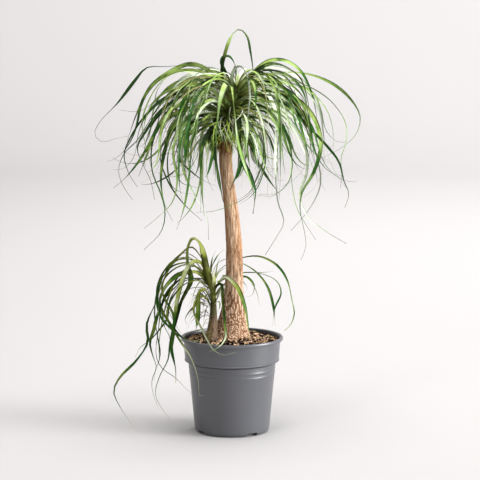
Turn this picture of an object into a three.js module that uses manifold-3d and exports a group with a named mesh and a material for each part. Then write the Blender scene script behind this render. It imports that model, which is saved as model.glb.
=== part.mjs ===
// Potted ponytail palm: a bare corky trunk on a swollen foot, a fountain of ribbon leaves at its
// top and a young leafy shoot at its foot, standing in bark chips in a tapered plastic pot.
// Millimetres, +Z up. The origin is the middle of the pot's base, on the surface it stands on,
// and the plant's front is seen looking along +Y.

import * as THREE from 'three';
import { mergeVertices } from 'three/addons/utils/BufferGeometryUtils.js';
import Module from 'manifold-3d';

const wasm = await Module();
wasm.setup();

// Driving dimensions

const POT = {
  height: 197,
  lipRadius: 105,
  lipDepth: 7,
  collarTopRadius: 99.5,
  collarFootRadius: 97,
  collarFoot: 149,
  bodyTopRadius: 90,
  bodyTop: 144,
  bodyFootRadius: 77.5,
  bodyFoot: 10,
  baseRadius: 69,
  wall: 1.6,
  floor: 2.2,
  ringHeights: [123, 133],
  ringProud: 0.8,
  ringHalf: 1.6,
  sides: 40,
};
const DRAIN = { count: 4, width: 17, height: 5, depth: 16, firstAngle: -53.3, radius: 74 };
const SEAT_GAP = 0.3;

const SOIL = { rim: 186, mound: 197, moundRadius: 52, chips: 42 };
const CHIP = { length: 13, width: 8, thickness: 5, innerRadius: 50, outerRadius: 86 };

// Trunk stations from the buried foot to the leaves: height, middle of the section, its radius
const TRUNK = [
  { z: 148, x: -4, y: 0, radius: 14 },
  { z: 156, x: -4, y: 0, radius: 32 },
  { z: 172, x: -4, y: 0, radius: 45 },
  { z: 190, x: -4, y: 0, radius: 46 },
  { z: 204, x: -3.5, y: 0, radius: 39.5 },
  { z: 233, x: 0.5, y: 1, radius: 29 },
  { z: 262, x: 2, y: 2, radius: 23 },
  { z: 306, x: 4.5, y: 3, radius: 19 },
  { z: 364, x: 5, y: 4, radius: 17 },
  { z: 422, x: 2, y: 3, radius: 15.7 },
  { z: 479, x: -3.5, y: 2, radius: 13.8 },
  { z: 551, x: -12.5, y: 0, radius: 13.5 },
  { z: 602, x: -13.5, y: 0, radius: 13.2 },
];
const BARK = { sides: 20, top: 602, bare: 196, plates: 275, furrow: 1, plateCrack: 1.7, rowHeight: 12 };
const DRY_SCALES = { count: 13, foot: 574, rowStep: 0.8, length: 15, width: 10, proud: 3.5 };

// Crown: the packed leaf bases that all leaves grow from
const CROWN_CORE = [
  { z: 602.3, x: -13.5, y: 0, radius: 13 },
  { z: 618, x: -11, y: 0, radius: 16 },
  { z: 645, x: -4, y: -1, radius: 17 },
  { z: 675, x: 3, y: -1, radius: 15.5 },
  { z: 700, x: 9, y: -2, radius: 11 },
  { z: 716, x: 12, y: -2, radius: 4 },
];
const FOUNTAIN = { leaves: 76, lowest: 609, highest: 706, segments: 7, seed: 20817 };
const GOLDEN_ANGLE = Math.PI * (3 - Math.sqrt(5));
const FRONT = -Math.PI / 2;
const PARTING = { gap: 0.42, reach: 1.1 };

// Young shoot: a brown sheathed stem, then the green leaf bases above it
const SHOOT_STEM = [
  { z: 170, x: -35, y: -38, radius: 8 },
  { z: 184, x: -35.5, y: -37.5, radius: 11 },
  { z: 197, x: -36, y: -36.5, radius: 10.5 },
  { z: 210, x: -37, y: -34, radius: 8.2 },
  { z: 228, x: -38, y: -31.5, radius: 7 },
  { z: 247, x: -38.5, y: -30, radius: 7 },
];
const SHOOT_CORE = [
  { z: 247.3, x: -38.5, y: -30, radius: 6.8 },
  { z: 262, x: -39, y: -29, radius: 7.2 },
  { z: 285, x: -41, y: -27, radius: 7 },
  { z: 305, x: -44, y: -26, radius: 6.2 },
  { z: 328, x: -50, y: -25, radius: 5 },
  { z: 346, x: -56, y: -25, radius: 2.6 },
];

const BLADE = { keel: 1.6, tipKeel: 0.9, tipWidth: 1.1, stride: 36, room: 5 };

const COLOURS = {
  pot: 0x66686c,
  soil: 0x8d6a48,
  trunk: 0xb98f66,
  crown: 0x4c6b35,
  shootStem: 0x6c5148,
  shootLeaves: 0x56763a,
};

// Leaves that stand out from the fountain, each with its width, its twist in degrees and the
// points that its middle line runs through, from the core to the tip
const CROWN_COURSES = {
  topLoop: [9, 70, [[5, -5, 685], [-15, -10, 710], [-20, -15, 745], [-12, -20, 785], [0, -25, 815],
    [15, -25, 828], [30, -25, 815], [38, -28, 780], [43, -30, 740], [40, -30, 700]]],
  smallTopCurl: [5, 20, [[5, 0, 690], [-15, 8, 715], [-20, 15, 745], [-18, 18, 765], [-5, 20, 770],
    [5, 20, 757], [13, 20, 738]]],
  paleArch: [9, -30, [[5, -5, 690], [0, -25, 730], [8, -38, 752], [18, -43, 755], [30, -52, 738],
    [36, -65, 700], [33, -72, 665], [28, -75, 620]]],
  leftLongLoop: [8, 60, [[-5, 0, 685], [-45, 0, 735], [-85, -5, 753], [-135, -10, 752],
    [-172, -12, 750], [-195, -14, 725], [-230, -17, 680], [-270, -20, 637], [-278, -20, 615],
    [-262, -20, 600], [-235, -20, 607], [-210, -20, 612]]],
  leftHighArch: [9, -25, [[-5, 0, 680], [-48, 15, 743], [-85, 25, 755], [-125, 30, 740],
    [-163, 35, 713], [-183, 38, 680], [-203, 40, 632], [-215, 40, 595]]],
  leftInnerArch: [7, 30, [[-5, 0, 675], [-55, 8, 723], [-97, 8, 742], [-136, 8, 728],
    [-170, 10, 680], [-183, 10, 632], [-173, 10, 580], [-165, 10, 545]]],
  leftHookedFall: [8, 40, [[-5, 0, 672], [-68, -20, 718], [-120, -32, 702], [-160, -45, 655],
    [-190, -52, 607], [-217, -56, 580], [-228, -58, 547], [-220, -60, 517], [-200, -60, 487]]],
  leftRearFall: [7, -35, [[-5, 0, 665], [-73, 20, 702], [-137, 32, 685], [-182, 42, 643],
    [-210, 46, 600], [-222, 48, 567], [-212, 50, 527], [-195, 50, 500]]],
  leftMiddleFall: [8, 25, [[-5, 0, 655], [-73, 5, 698], [-138, 6, 667], [-175, 8, 620],
    [-193, 10, 585], [-183, 10, 553], [-167, 10, 520], [-158, 10, 478]]],
  leftDeepFall: [8, -45, [[-5, -4, 655], [-72, -25, 694], [-128, -42, 663], [-158, -57, 608],
    [-160, -67, 548], [-142, -73, 500], [-134, -77, 465], [-142, -79, 425], [-177, -80, 388]]],
  leftFrontFall: [7, 30, [[-5, -4, 650], [-56, -30, 694], [-96, -55, 652], [-117, -75, 590],
    [-109, -90, 527], [-120, -96, 485], [-145, -100, 460], [-175, -100, 435]]],
  leftCrossingFall: [8, 50, [[-5, 4, 648], [-65, 20, 670], [-114, 36, 632], [-148, 47, 573],
    [-134, 54, 516], [-105, 58, 470], [-62, 60, 428]]],
  leftNearFall: [7, -30, [[-5, -4, 642], [-52, -20, 677], [-86, -36, 642], [-100, -50, 587],
    [-96, -58, 543], [-74, -65, 496], [-50, -70, 455], [-47, -70, 407]]],
  leftFlick: [5, 20, [[-5, 2, 672], [-73, 16, 711], [-136, 25, 698], [-173, 30, 667],
    [-195, 30, 658], [-230, 30, 661]]],
  frontBroad: [11, 15, [[2, -4, 670], [-8, -25, 705], [-12, -53, 720], [-21, -74, 697],
    [-27, -97, 661], [-31, -111, 623], [-29, -115, 588]]],
  frontLongBroad: [11, -40, [[2, -4, 668], [-2, -22, 705], [0, -45, 715], [7, -70, 655],
    [13, -87, 607], [28, -100, 556], [42, -107, 515], [46, -110, 490], [42, -110, 465]]],
  frontLeftArch: [10, 25, [[-2, -4, 662], [-30, -22, 695], [-50, -42, 713], [-65, -62, 690],
    [-71, -81, 646], [-82, -93, 597], [-77, -95, 561]]],
  besideTrunkLeft: [8, 35, [[-6, -4, 628], [-32, -20, 648], [-46, -38, 612], [-34, -50, 567],
    [-26, -58, 523], [-18, -60, 483]]],
  besideTrunkRight: [8, -35, [[-2, -4, 635], [18, -22, 652], [29, -45, 613], [16, -62, 568],
    [6, -69, 532], [-4, -70, 508]]],
  curlAcrossTrunk: [5, 30, [[0, -2, 650], [41, -21, 645], [61, -37, 586], [59, -47, 536],
    [37, -53, 498], [-2, -57, 476], [-38, -60, 464], [-72, -60, 462]]],
  rightHighArch: [8, 20, [[8, 0, 690], [41, 5, 736], [73, 6, 762], [106, 7, 764], [136, 8, 746],
    [157, 9, 711], [169, 10, 669], [175, 10, 626]]],
  rightBroadArch: [10, -30, [[8, 0, 685], [45, -12, 739], [77, -17, 758], [111, -21, 752],
    [137, -24, 732], [151, -27, 696], [158, -29, 650], [156, -30, 605]]],
  rightOuterLoop: [8, 45, [[8, 0, 682], [57, 11, 730], [110, 16, 739], [163, 20, 733],
    [210, 24, 712], [245, 26, 680], [262, 28, 647], [254, 29, 612], [223, 30, 583], [184, 30, 562]]],
  rightInnerLoop: [8, -40, [[8, 0, 678], [61, -10, 721], [117, -16, 725], [166, -21, 708],
    [206, -24, 678], [230, -27, 639], [231, -28, 601], [221, -29, 569], [223, -30, 536],
    [220, -30, 508]]],
  rightFlick: [6, 30, [[8, 2, 675], [61, 21, 715], [119, 33, 714], [164, 41, 697], [182, 46, 660],
    [193, 49, 618], [214, 50, 595], [236, 50, 593]]],
  rightDarkFall: [9, 50, [[5, 0, 668], [61, -16, 693], [117, -28, 674], [153, -37, 634],
    [192, -43, 594], [216, -47, 562], [226, -49, 524], [236, -50, 498], [228, -50, 470]]],
  rightBroadFall: [11, -25, [[5, -4, 665], [45, -24, 706], [77, -35, 694], [93, -48, 651],
    [89, -61, 598], [89, -72, 539], [93, -79, 485], [105, -82, 445], [89, -84, 413], [67, -85, 378]]],
  rightDeepFall: [9, 45, [[5, -2, 660], [65, -12, 701], [125, -20, 691], [164, -25, 653],
    [180, -30, 599], [166, -34, 541], [142, -37, 500], [138, -38, 464], [146, -39, 423],
    [150, -40, 390], [140, -40, 362]]],
  rightRearFall: [8, -30, [[5, 2, 655], [69, 21, 676], [123, 34, 648], [158, 44, 602],
    [179, 52, 546], [182, 56, 502], [161, 59, 455], [122, 60, 407]]],
  rightSweepingTip: [7, 30, [[5, 2, 650], [65, 6, 675], [114, 10, 646], [149, 14, 591],
    [153, 16, 535], [139, 18, 487], [156, 19, 442], [191, 20, 413], [236, 20, 386]]],
  rightFarFall: [7, -20, [[5, 4, 645], [61, 31, 665], [101, 49, 630], [122, 65, 575],
    [124, 78, 511], [135, 86, 452], [175, 90, 384]]],
  rightInwardCurl: [6, 25, [[4, 4, 640], [53, 27, 657], [94, 43, 627], [119, 56, 576],
    [120, 65, 521], [99, 68, 488], [54, 70, 481]]],
};

const SHOOT_COURSES = {
  crestLeaf: [12, 20, [[-50, -25, 325], [-57, -26, 368], [-67, -30, 398], [-79, -36, 406],
    [-89, -42, 389], [-90, -48, 359], [-83, -52, 322], [-97, -54, 290], [-109, -56, 257]]],
  paleLeaf: [10, -30, [[-50, -25, 330], [-65, -34, 357], [-83, -50, 357], [-97, -60, 332],
    [-109, -68, 292], [-116, -72, 244], [-121, -74, 193], [-115, -76, 150], [-114, -76, 113]]],
  leftArch: [8, 30, [[-51, -25, 335], [-65, -22, 368], [-83, -22, 386], [-102, -22, 373],
    [-126, -24, 345], [-141, -26, 308], [-137, -26, 273], [-120, -28, 235], [-103, -32, 207]]],
  leftMiddleArch: [9, -25, [[-50, -25, 327], [-71, -16, 360], [-98, -10, 372], [-123, -6, 352],
    [-145, -2, 312], [-152, 0, 272], [-140, 2, 233], [-119, 4, 205]]],
  leftRearArch: [9, 35, [[-50, -24, 323], [-78, -8, 355], [-111, 6, 355], [-138, 14, 333],
    [-155, 20, 294], [-153, 22, 256], [-133, 24, 212], [-128, 24, 176]]],
  leftOuterFall: [8, -40, [[-50, -25, 324], [-86, -12, 362], [-125, -4, 352], [-148, 0, 310],
    [-160, 2, 264], [-175, 2, 226], [-173, 0, 187], [-157, -4, 135], [-166, -6, 102],
    [-163, -8, 73], [-151, -10, 44]]],
  longFloorLeaf: [9, 45, [[-50, -25, 322], [-85, -36, 367], [-121, -46, 354], [-142, -54, 310],
    [-150, -58, 249], [-170, -60, 190], [-207, -60, 147], [-238, -60, 107], [-236, -60, 76],
    [-212, -60, 38], [-194, -60, 10]]],
  straightFall: [7, 20, [[-48, -25, 316], [-73, -40, 349], [-101, -52, 339], [-123, -60, 303],
    [-140, -64, 246], [-148, -66, 191], [-148, -66, 156], [-156, -66, 135]]],
  broadShortLeaf: [10, -20, [[-46, -26, 306], [-65, -38, 333], [-85, -50, 339], [-113, -60, 330],
    [-135, -66, 308], [-145, -70, 282], [-151, -72, 254]]],
  curvedFall: [7, 30, [[-46, -25, 304], [-63, -8, 315], [-86, 4, 299], [-107, 12, 264],
    [-116, 16, 217], [-126, 18, 165], [-143, 18, 118], [-160, 18, 84], [-154, 18, 51],
    [-129, 18, 20]]],
  crossingTail: [6, -30, [[-46, -25, 308], [-74, 4, 332], [-107, 20, 313], [-141, 30, 267],
    [-151, 34, 204], [-154, 34, 145], [-144, 32, 109], [-118, 28, 89], [-90, 22, 62]]],
  rimLeaf: [7, 35, [[-43, -27, 286], [-59, -44, 309], [-81, -58, 297], [-99, -66, 259],
    [-105, -65, 213], [-94, -62, 181], [-82, -62, 146], [-73, -64, 110], [-69, -66, 83]]],
  innerBroadLeaf: [10, 15, [[-42, -28, 276], [-55, -44, 301], [-67, -56, 298], [-69, -62, 273],
    [-71, -66, 247], [-76, -70, 221]]],
  dryTippedLeaf: [6, 40, [[-41, -28, 265], [-57, -44, 288], [-73, -60, 283], [-77, -70, 260],
    [-68, -80, 241], [-58, -92, 224], [-48, -105, 206], [-36, -110, 189], [-16, -111, 179],
    [8, -112, 185]]],
  smallHookLeaf: [6, -20, [[-40, -28, 260], [-57, -8, 274], [-76, 0, 262], [-90, 4, 245],
    [-95, 6, 226], [-84, 8, 215]]],
  upperFineArch: [5, 15, [[-42, -27, 290], [-57, -4, 315], [-78, 6, 317], [-105, 14, 306],
    [-128, 18, 284], [-138, 20, 263]]],
  lowerFineArch: [5, -15, [[-42, -27, 282], [-59, 0, 297], [-82, 14, 295], [-111, 24, 277],
    [-128, 28, 243], [-137, 30, 213]]],
  beforeTrunkLeaf: [10, -25, [[-42, -28, 288], [-26, -48, 324], [-8, -58, 330], [8, -64, 310],
    [23, -68, 282], [33, -74, 248], [37, -80, 213]]],
  overRimLeaf: [9, 40, [[-40, -29, 272], [-32, -42, 310], [-18, -52, 318], [-16, -58, 291],
    [-20, -62, 258], [-14, -76, 228], [-12, -94, 212], [-24, -111, 197], [-46, -110, 185]]],
  rearHighArch: [8, 30, [[-43, -26, 300], [-27, 20, 331], [-8, 38, 342], [23, 46, 354],
    [58, 46, 356], [93, 44, 338], [114, 40, 308], [124, 36, 266], [129, 32, 238], [121, 30, 215],
    [108, 28, 203]]],
  rearMiddleArch: [8, -30, [[-46, -25, 312], [-30, 22, 345], [-8, 40, 352], [23, 50, 340],
    [50, 56, 322], [73, 58, 292], [85, 60, 254], [90, 60, 208]]],
  rearLowArch: [6, 20, [[-41, -27, 284], [-24, 22, 306], [2, 40, 319], [31, 48, 323],
    [62, 56, 318], [93, 60, 302], [102, 60, 277], [89, 60, 245], [84, 60, 206]]],
  rearCurl: [6, 30, [[-40, -28, 268], [-24, 24, 294], [8, 40, 312], [31, 46, 313],
    [46, 48, 296], [41, 48, 275], [25, 46, 269]]],
  uprightTip: [5, 10, [[-45, -26, 308], [-41, -10, 340], [-37, -4, 366], [-31, -2, 376]]],
  paleStub: [7, 0, [[-41, -27, 285], [-39, -19, 305], [-37, -15, 332]]],
  rightSmallLeaf: [7, 20, [[-39, -29, 256], [-30, -34, 282], [-24, -38, 299], [-18, -42, 306],
    [-16, -46, 294], [-22, -48, 274]]],
};

// Helpers

function drawsFrom(seed) {
  const modulus = 2147483647;
  let state = seed;
  return (low, high) => {
    state = (state * 16807) % modulus;
    return low + (high - low) * (state / modulus);
  };
}

const mix = (from, to, share) => from + (to - from) * share;
const clamp01 = (value) => Math.min(1, Math.max(0, value));
const smooth = (value) => clamp01(value) ** 2 * (3 - 2 * clamp01(value));
const radians = (degrees) => THREE.MathUtils.degToRad(degrees);

// Closed solid of a geometry, turned right side out
function solidOf(geometry) {
  geometry.deleteAttribute('normal');
  geometry.deleteAttribute('uv');
  const merged = mergeVertices(geometry, 1e-4);
  const vertProperties = new Float32Array(merged.attributes.position.array);
  const triVerts = new Uint32Array(merged.index.array);
  const solid = new wasm.Manifold(new wasm.Mesh({ numProp: 3, vertProperties, triVerts }));
  if (solid.volume() > 0) {
    return solid;
  }
  for (let face = 0; face < triVerts.length; face += 3) {
    [triVerts[face], triVerts[face + 1]] = [triVerts[face + 1], triVerts[face]];
  }
  return new wasm.Manifold(new wasm.Mesh({ numProp: 3, vertProperties, triVerts }));
}

// The largest body of a solid: loose scraps and the skins of sealed hollows are left behind
function mainBody(solid) {
  return solid.decompose().reduce((best, body) => (body.volume() > best.volume() ? body : best));
}

function meshOf(name, solid, colour, roughness) {
  const { vertProperties, triVerts } = mainBody(solid).getMesh();
  const geometry = new THREE.BufferGeometry();
  geometry.setAttribute('position', new THREE.BufferAttribute(new Float32Array(vertProperties), 3));
  geometry.setIndex(new THREE.BufferAttribute(new Uint32Array(triVerts), 1));
  geometry.computeVertexNormals();
  const material = new THREE.MeshStandardMaterial({ color: colour, roughness, metalness: 0 });
  const mesh = new THREE.Mesh(geometry, material);
  mesh.name = name;
  return mesh;
}

// Solid turned about the vertical axis from [radius, height] points
function turned(outline, sides) {
  const points = outline.map(([radius, height]) => new THREE.Vector2(radius, height));
  const geometry = new THREE.LatheGeometry(points, sides);
  geometry.rotateX(Math.PI / 2);
  return geometry;
}

// Skin over a row of rings of points, closed by a cap at the foot and by a cap or a tip on top
function skinned(rings, tip) {
  const sides = rings[0].length;
  const corners = rings.flat();
  const faces = [];
  for (let row = 0; row < rings.length - 1; row++) {
    for (let side = 0; side < sides; side++) {
      const near = row * sides + side;
      const next = row * sides + (side + 1) % sides;
      faces.push(near, next, next + sides, near, next + sides, near + sides);
    }
  }
  const last = (rings.length - 1) * sides;
  for (let side = 1; side < sides - 1; side++) {
    faces.push(0, side + 1, side);
  }
  if (tip) {
    corners.push(tip);
    for (let side = 0; side < sides; side++) {
      faces.push(last + side, last + (side + 1) % sides, corners.length - 1);
    }
  } else {
    for (let side = 1; side < sides - 1; side++) {
      faces.push(last, last + side, last + side + 1);
    }
  }
  const geometry = new THREE.BufferGeometry().setFromPoints(corners);
  geometry.setIndex(faces);
  return geometry;
}

// Smooth section between stations: its middle and radius at a height
function sectionAt(stations, z) {
  const last = stations.length - 2;
  let index = stations.findIndex((station) => station.z > z) - 1;
  index = index < 0 ? (z < stations[0].z ? 0 : last) : index;
  const [from, to] = [stations[index], stations[index + 1]];
  const before = stations[Math.max(index - 1, 0)];
  const after = stations[Math.min(index + 2, stations.length - 1)];
  const span = to.z - from.z;
  const share = clamp01((z - from.z) / span);
  const blend = (key) => {
    const slopeIn = ((to[key] - before[key]) / (to.z - before.z)) * span;
    const slopeOut = ((after[key] - from[key]) / (after.z - from.z)) * span;
    return (2 * share ** 3 - 3 * share ** 2 + 1) * from[key] + (share ** 3 - 2 * share ** 2 + share) * slopeIn
      + (3 * share ** 2 - 2 * share ** 3) * to[key] + (share ** 3 - share ** 2) * slopeOut;
  };
  return { x: blend('x'), y: blend('y'), radius: blend('radius') };
}

// Round stem through its stations; relief gives how far the skin lies inside the plain radius
function stemRings(stations, heights, sides, grown, relief) {
  return heights.map((z) => {
    const { x, y, radius } = sectionAt(stations, z);
    return Array.from({ length: sides }, (_, side) => {
      const angle = (side / sides) * 2 * Math.PI;
      const reach = radius + grown - (relief ? relief(angle, z) : 0);
      return new THREE.Vector3(x + reach * Math.cos(angle), y + reach * Math.sin(angle), z);
    });
  });
}

function evenHeights(low, high, step) {
  const count = Math.round((high - low) / step);
  return Array.from({ length: count + 1 }, (_, row) => mix(low, high, row / count));
}

// Pot

function wallRadius(z) {
  const { bodyFoot, bodyTop, bodyFootRadius, bodyTopRadius } = POT;
  return mix(bodyFootRadius, bodyTopRadius, (z - bodyFoot) / (bodyTop - bodyFoot));
}

function potOutline() {
  const { height, lipRadius, lipDepth, wall, floor, ringProud, ringHalf } = POT;
  const lipFoot = height - lipDepth;
  const rings = POT.ringHeights.flatMap((z) => [
    [wallRadius(z - ringHalf), z - ringHalf],
    [wallRadius(z) + ringProud, z],
    [wallRadius(z + ringHalf), z + ringHalf],
  ]);
  return [
    [0, 0],
    [POT.baseRadius, 0],
    [POT.baseRadius + 5.5, 2.5],
    [POT.bodyFootRadius, POT.bodyFoot],
    ...rings,
    [POT.bodyTopRadius, POT.bodyTop],
    [POT.collarFootRadius, POT.collarFoot],
    [POT.collarTopRadius, lipFoot],
    [lipRadius - 0.8, lipFoot + 0.4],
    [lipRadius, lipFoot + 2],
    [lipRadius, height - 1.5],
    [lipRadius - 1.4, height],
    [lipRadius - 4.5, height],
    [POT.collarTopRadius - wall, lipFoot + 1],
    [POT.collarFootRadius - wall, POT.collarFoot + wall],
    [POT.bodyTopRadius - wall, POT.bodyTop + wall],
    [POT.bodyFootRadius - wall, POT.bodyFoot],
    [POT.baseRadius, floor],
    [0, floor],
  ];
}

function drainCut(index) {
  const { width, height, depth, radius, firstAngle, count } = DRAIN;
  const below = 2;
  const cut = new THREE.BoxGeometry(depth, width, height + below);
  cut.translate(radius, 0, (height - below) / 2);
  cut.rotateZ(radians(firstAngle + (index * 360) / count));
  return solidOf(cut);
}

function potSolid() {
  let pot = solidOf(turned(potOutline(), POT.sides));
  for (let index = 0; index < DRAIN.count; index++) {
    pot = pot.subtract(drainCut(index));
  }
  return pot;
}

// Trunk

function barkRelief(angle, z) {
  if (z <= BARK.bare) {
    return 0;
  }
  const wander = 1.6 * Math.sin(z / 29) + 0.9 * Math.sin(z / 13);
  const furrow = BARK.furrow * Math.max(0, Math.sin(7 * angle + wander)) ** 2;
  const plated = smooth((BARK.plates - z) / 30);
  const row = Math.floor((z - BARK.bare) / BARK.rowHeight);
  const upright = Math.max(0, Math.cos(8 * angle + row * 2.1)) ** 2;
  const level = 0.5 + 0.5 * Math.cos((2 * Math.PI * (z - BARK.bare)) / BARK.rowHeight);
  const plates = BARK.plateCrack * Math.max(upright, 0.7 * level);
  return mix(furrow, plates, plated) * smooth((z - BARK.bare) / 8);
}

function dryScale(index) {
  const { foot, rowStep, length, width, proud } = DRY_SCALES;
  const heading = index * GOLDEN_ANGLE;
  const z = foot + index * rowStep;
  const { x, y, radius } = sectionAt(TRUNK, z);
  const points = [[-2, -3], [0.6, length * 0.45], [proud, length]].map(([out, up]) => [
    x + (radius + out) * Math.cos(heading),
    y + (radius + out) * Math.sin(heading),
    Math.min(z + up, BARK.top - 1.5),
  ]);
  return solidOf(blade(points, width, 0, 3));
}

function trunkSolid() {
  const heights = [
    ...evenHeights(TRUNK[0].z, BARK.bare, 8),
    ...evenHeights(BARK.bare + 6, BARK.plates, 6),
    ...evenHeights(BARK.plates + 16, 570, 18),
    ...evenHeights(578, BARK.top, 12),
  ];
  const bark = solidOf(skinned(stemRings(TRUNK, heights, BARK.sides, 0, barkRelief)));
  const scales = Array.from({ length: DRY_SCALES.count }, (_, index) => dryScale(index));
  return wasm.Manifold.union([bark, ...scales]).subtract(shootStemSolid(SEAT_GAP));
}

function trunkHole() {
  const heights = evenHeights(TRUNK[0].z, 236, 8);
  heights[0] -= SEAT_GAP;
  return solidOf(skinned(stemRings(TRUNK, heights, BARK.sides, SEAT_GAP)));
}

// Bark chips

function soilOutline() {
  const gap = POT.wall + SEAT_GAP;
  const foot = POT.floor + SEAT_GAP;
  const collarSoil = mix(POT.collarFootRadius, POT.collarTopRadius,
    (SOIL.rim - POT.collarFoot) / (POT.height - POT.lipDepth - POT.collarFoot)) - gap;
  const halfway = (collarSoil + SOIL.moundRadius) / 2;
  return [
    [0, foot],
    [POT.baseRadius - 1, foot],
    [POT.bodyFootRadius - gap, POT.bodyFoot],
    [POT.bodyTopRadius - gap, POT.bodyTop + POT.wall],
    [POT.collarFootRadius - gap, POT.collarFoot + POT.wall],
    [collarSoil, SOIL.rim],
    [halfway, soilHeight(halfway)],
    [SOIL.moundRadius, SOIL.mound],
    [0, SOIL.mound],
  ];
}

function soilHeight(radius) {
  const rim = POT.collarTopRadius - POT.wall;
  return mix(SOIL.rim, SOIL.mound, smooth((rim - radius) / (rim - SOIL.moundRadius)));
}

function chipSolid(index, draw) {
  const share = Math.sqrt((index + 0.5) / SOIL.chips);
  const radius = mix(CHIP.innerRadius, CHIP.outerRadius, share);
  const heading = index * GOLDEN_ANGLE;
  const chip = new THREE.BoxGeometry(CHIP.length * draw(0.7, 1.15), CHIP.width * draw(0.7, 1.1), CHIP.thickness);
  chip.rotateX(draw(-0.4, 0.4));
  chip.rotateY(draw(-0.35, 0.35));
  chip.rotateZ(draw(0, Math.PI));
  chip.translate(radius * Math.cos(heading), radius * Math.sin(heading), soilHeight(radius) + draw(-0.8, 0.8));
  return solidOf(chip);
}

function soilSolid() {
  const draw = drawsFrom(411);
  const bed = solidOf(turned(soilOutline(), POT.sides));
  const chips = Array.from({ length: SOIL.chips }, (_, index) => chipSolid(index, draw));
  return wasm.Manifold.union([bed, ...chips]).subtract(trunkHole()).subtract(shootStemSolid(SEAT_GAP));
}

// Leaves

// Three-sided blade along a course: two edges and a keel below, narrowing to a thin tip
function blade(course, width, twist, segments) {
  const curve = new THREE.CatmullRomCurve3(course.map((point) => new THREE.Vector3(...point)));
  const spots = curve.getSpacedPoints(segments);
  const upper = new THREE.Vector3(0, 0, 1);
  const rings = [];
  for (let step = 0; step < segments; step++) {
    const share = step / segments;
    const along = spots[Math.min(step + 1, segments)].clone().sub(spots[Math.max(step - 1, 0)]).normalize();
    upper.addScaledVector(along, -upper.dot(along)).normalize();
    const facing = upper.clone().applyAxisAngle(along, radians(twist) * share);
    const across = facing.clone().cross(along);
    const half = Math.max(BLADE.tipWidth, width * leafOutline(share)) / 2;
    const keel = mix(BLADE.keel, BLADE.tipKeel, smooth((share - 0.5) / 0.5));
    const spot = spots[step];
    rings.push([
      spot.clone().addScaledVector(across, half),
      spot.clone().addScaledVector(across, -half),
      spot.clone().addScaledVector(facing, -keel),
    ]);
  }
  return skinned(rings, spots[segments]);
}

function leafOutline(share) {
  return (0.75 + 0.25 * smooth(share / 0.2)) * (1 - 0.92 * smooth((share - 0.35) / 0.6));
}

// Keeps a leaf's course outside the bare trunk
function clearOfTrunk([x, y, z]) {
  if (z > BARK.top + 4) {
    return [x, y, z];
  }
  const trunk = sectionAt(TRUNK, z);
  const away = Math.hypot(x - trunk.x, y - trunk.y);
  const least = trunk.radius + DRY_SCALES.proud + BLADE.room;
  const push = Math.max(1, least / Math.max(away, 0.1));
  return [trunk.x + (x - trunk.x) * push, trunk.y + (y - trunk.y) * push, z];
}

// Opens the leaves to both sides of the trunk's front
function parted(heading) {
  const off = Math.atan2(Math.sin(heading - FRONT), Math.cos(heading - FRONT));
  const kept = Math.abs(off);
  if (kept > PARTING.reach) {
    return heading;
  }
  return FRONT + Math.sign(off) * mix(PARTING.gap, PARTING.reach, kept / PARTING.reach);
}

// One leaf of the fountain: up and out of the core, over in an arc, then hanging with a curled tip
function fountainCourse(index, draw) {
  const age = (index + 0.5) / FOUNTAIN.leaves;
  const z = mix(FOUNTAIN.lowest, FOUNTAIN.highest, age);
  const core = sectionAt(CROWN_CORE, z);
  const rise = radians(mix(28, 74, age) + draw(-9, 9));
  const radius = (44 + 60 * Math.sin(0.85 * Math.PI * age ** 1.2)) * draw(0.82, 1.12);
  const hang = radians(-86);
  const arc = radius * (rise - hang);
  const tail = draw(50, 170);
  const curl = radians(draw(-50, 40));
  const swing = draw(-0.7, 0.7);
  let heading = parted(index * GOLDEN_ANGLE + draw(-0.2, 0.2));
  const point = [core.x, core.y, z];
  const steps = 22;
  const stride = (arc + tail) / steps;
  const course = [[...point]];
  for (let step = 0; step < steps; step++) {
    const gone = (step + 0.5) * stride;
    const past = Math.max(0, gone - arc) / tail;
    const pitch = mix(rise, hang, Math.min(1, gone / arc)) + curl * past ** 2;
    heading += (swing * 2 * (step + 0.5)) / steps ** 2;
    point[0] += stride * Math.cos(pitch) * Math.cos(heading);
    point[1] += stride * Math.cos(pitch) * Math.sin(heading);
    point[2] += stride * Math.sin(pitch);
    course.push(clearOfTrunk(point));
  }
  return course;
}

function courseBlades(courses) {
  return Object.values(courses).map(([width, twist, course]) => {
    const length = course.slice(1).reduce((sum, point, index) => {
      const [x, y, z] = course[index];
      return sum + Math.hypot(point[0] - x, point[1] - y, point[2] - z);
    }, 0);
    return solidOf(blade(course, width, twist, Math.max(4, Math.round(length / BLADE.stride))));
  });
}

function crownSolid() {
  const draw = drawsFrom(FOUNTAIN.seed);
  const heights = CROWN_CORE.map((station) => station.z);
  const core = solidOf(skinned(stemRings(CROWN_CORE, heights, 10, 0)));
  const fountain = Array.from({ length: FOUNTAIN.leaves }, (_, index) => {
    const course = fountainCourse(index, draw);
    const width = draw(6, 9);
    const twist = draw(-70, 70);
    return solidOf(blade(course, width, twist, FOUNTAIN.segments));
  });
  return wasm.Manifold.union([core, ...courseBlades(CROWN_COURSES), ...fountain]);
}

// Young shoot

function shootStemSolid(grown) {
  const heights = SHOOT_STEM.map((station) => station.z);
  heights[0] -= grown;
  heights[heights.length - 1] += grown;
  return solidOf(skinned(stemRings(SHOOT_STEM, heights, 14, grown)));
}

function shootLeavesSolid() {
  const heights = SHOOT_CORE.map((station) => station.z);
  const core = solidOf(skinned(stemRings(SHOOT_CORE, heights, 10, 0)));
  return wasm.Manifold.union([core, ...courseBlades(SHOOT_COURSES)]);
}

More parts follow.
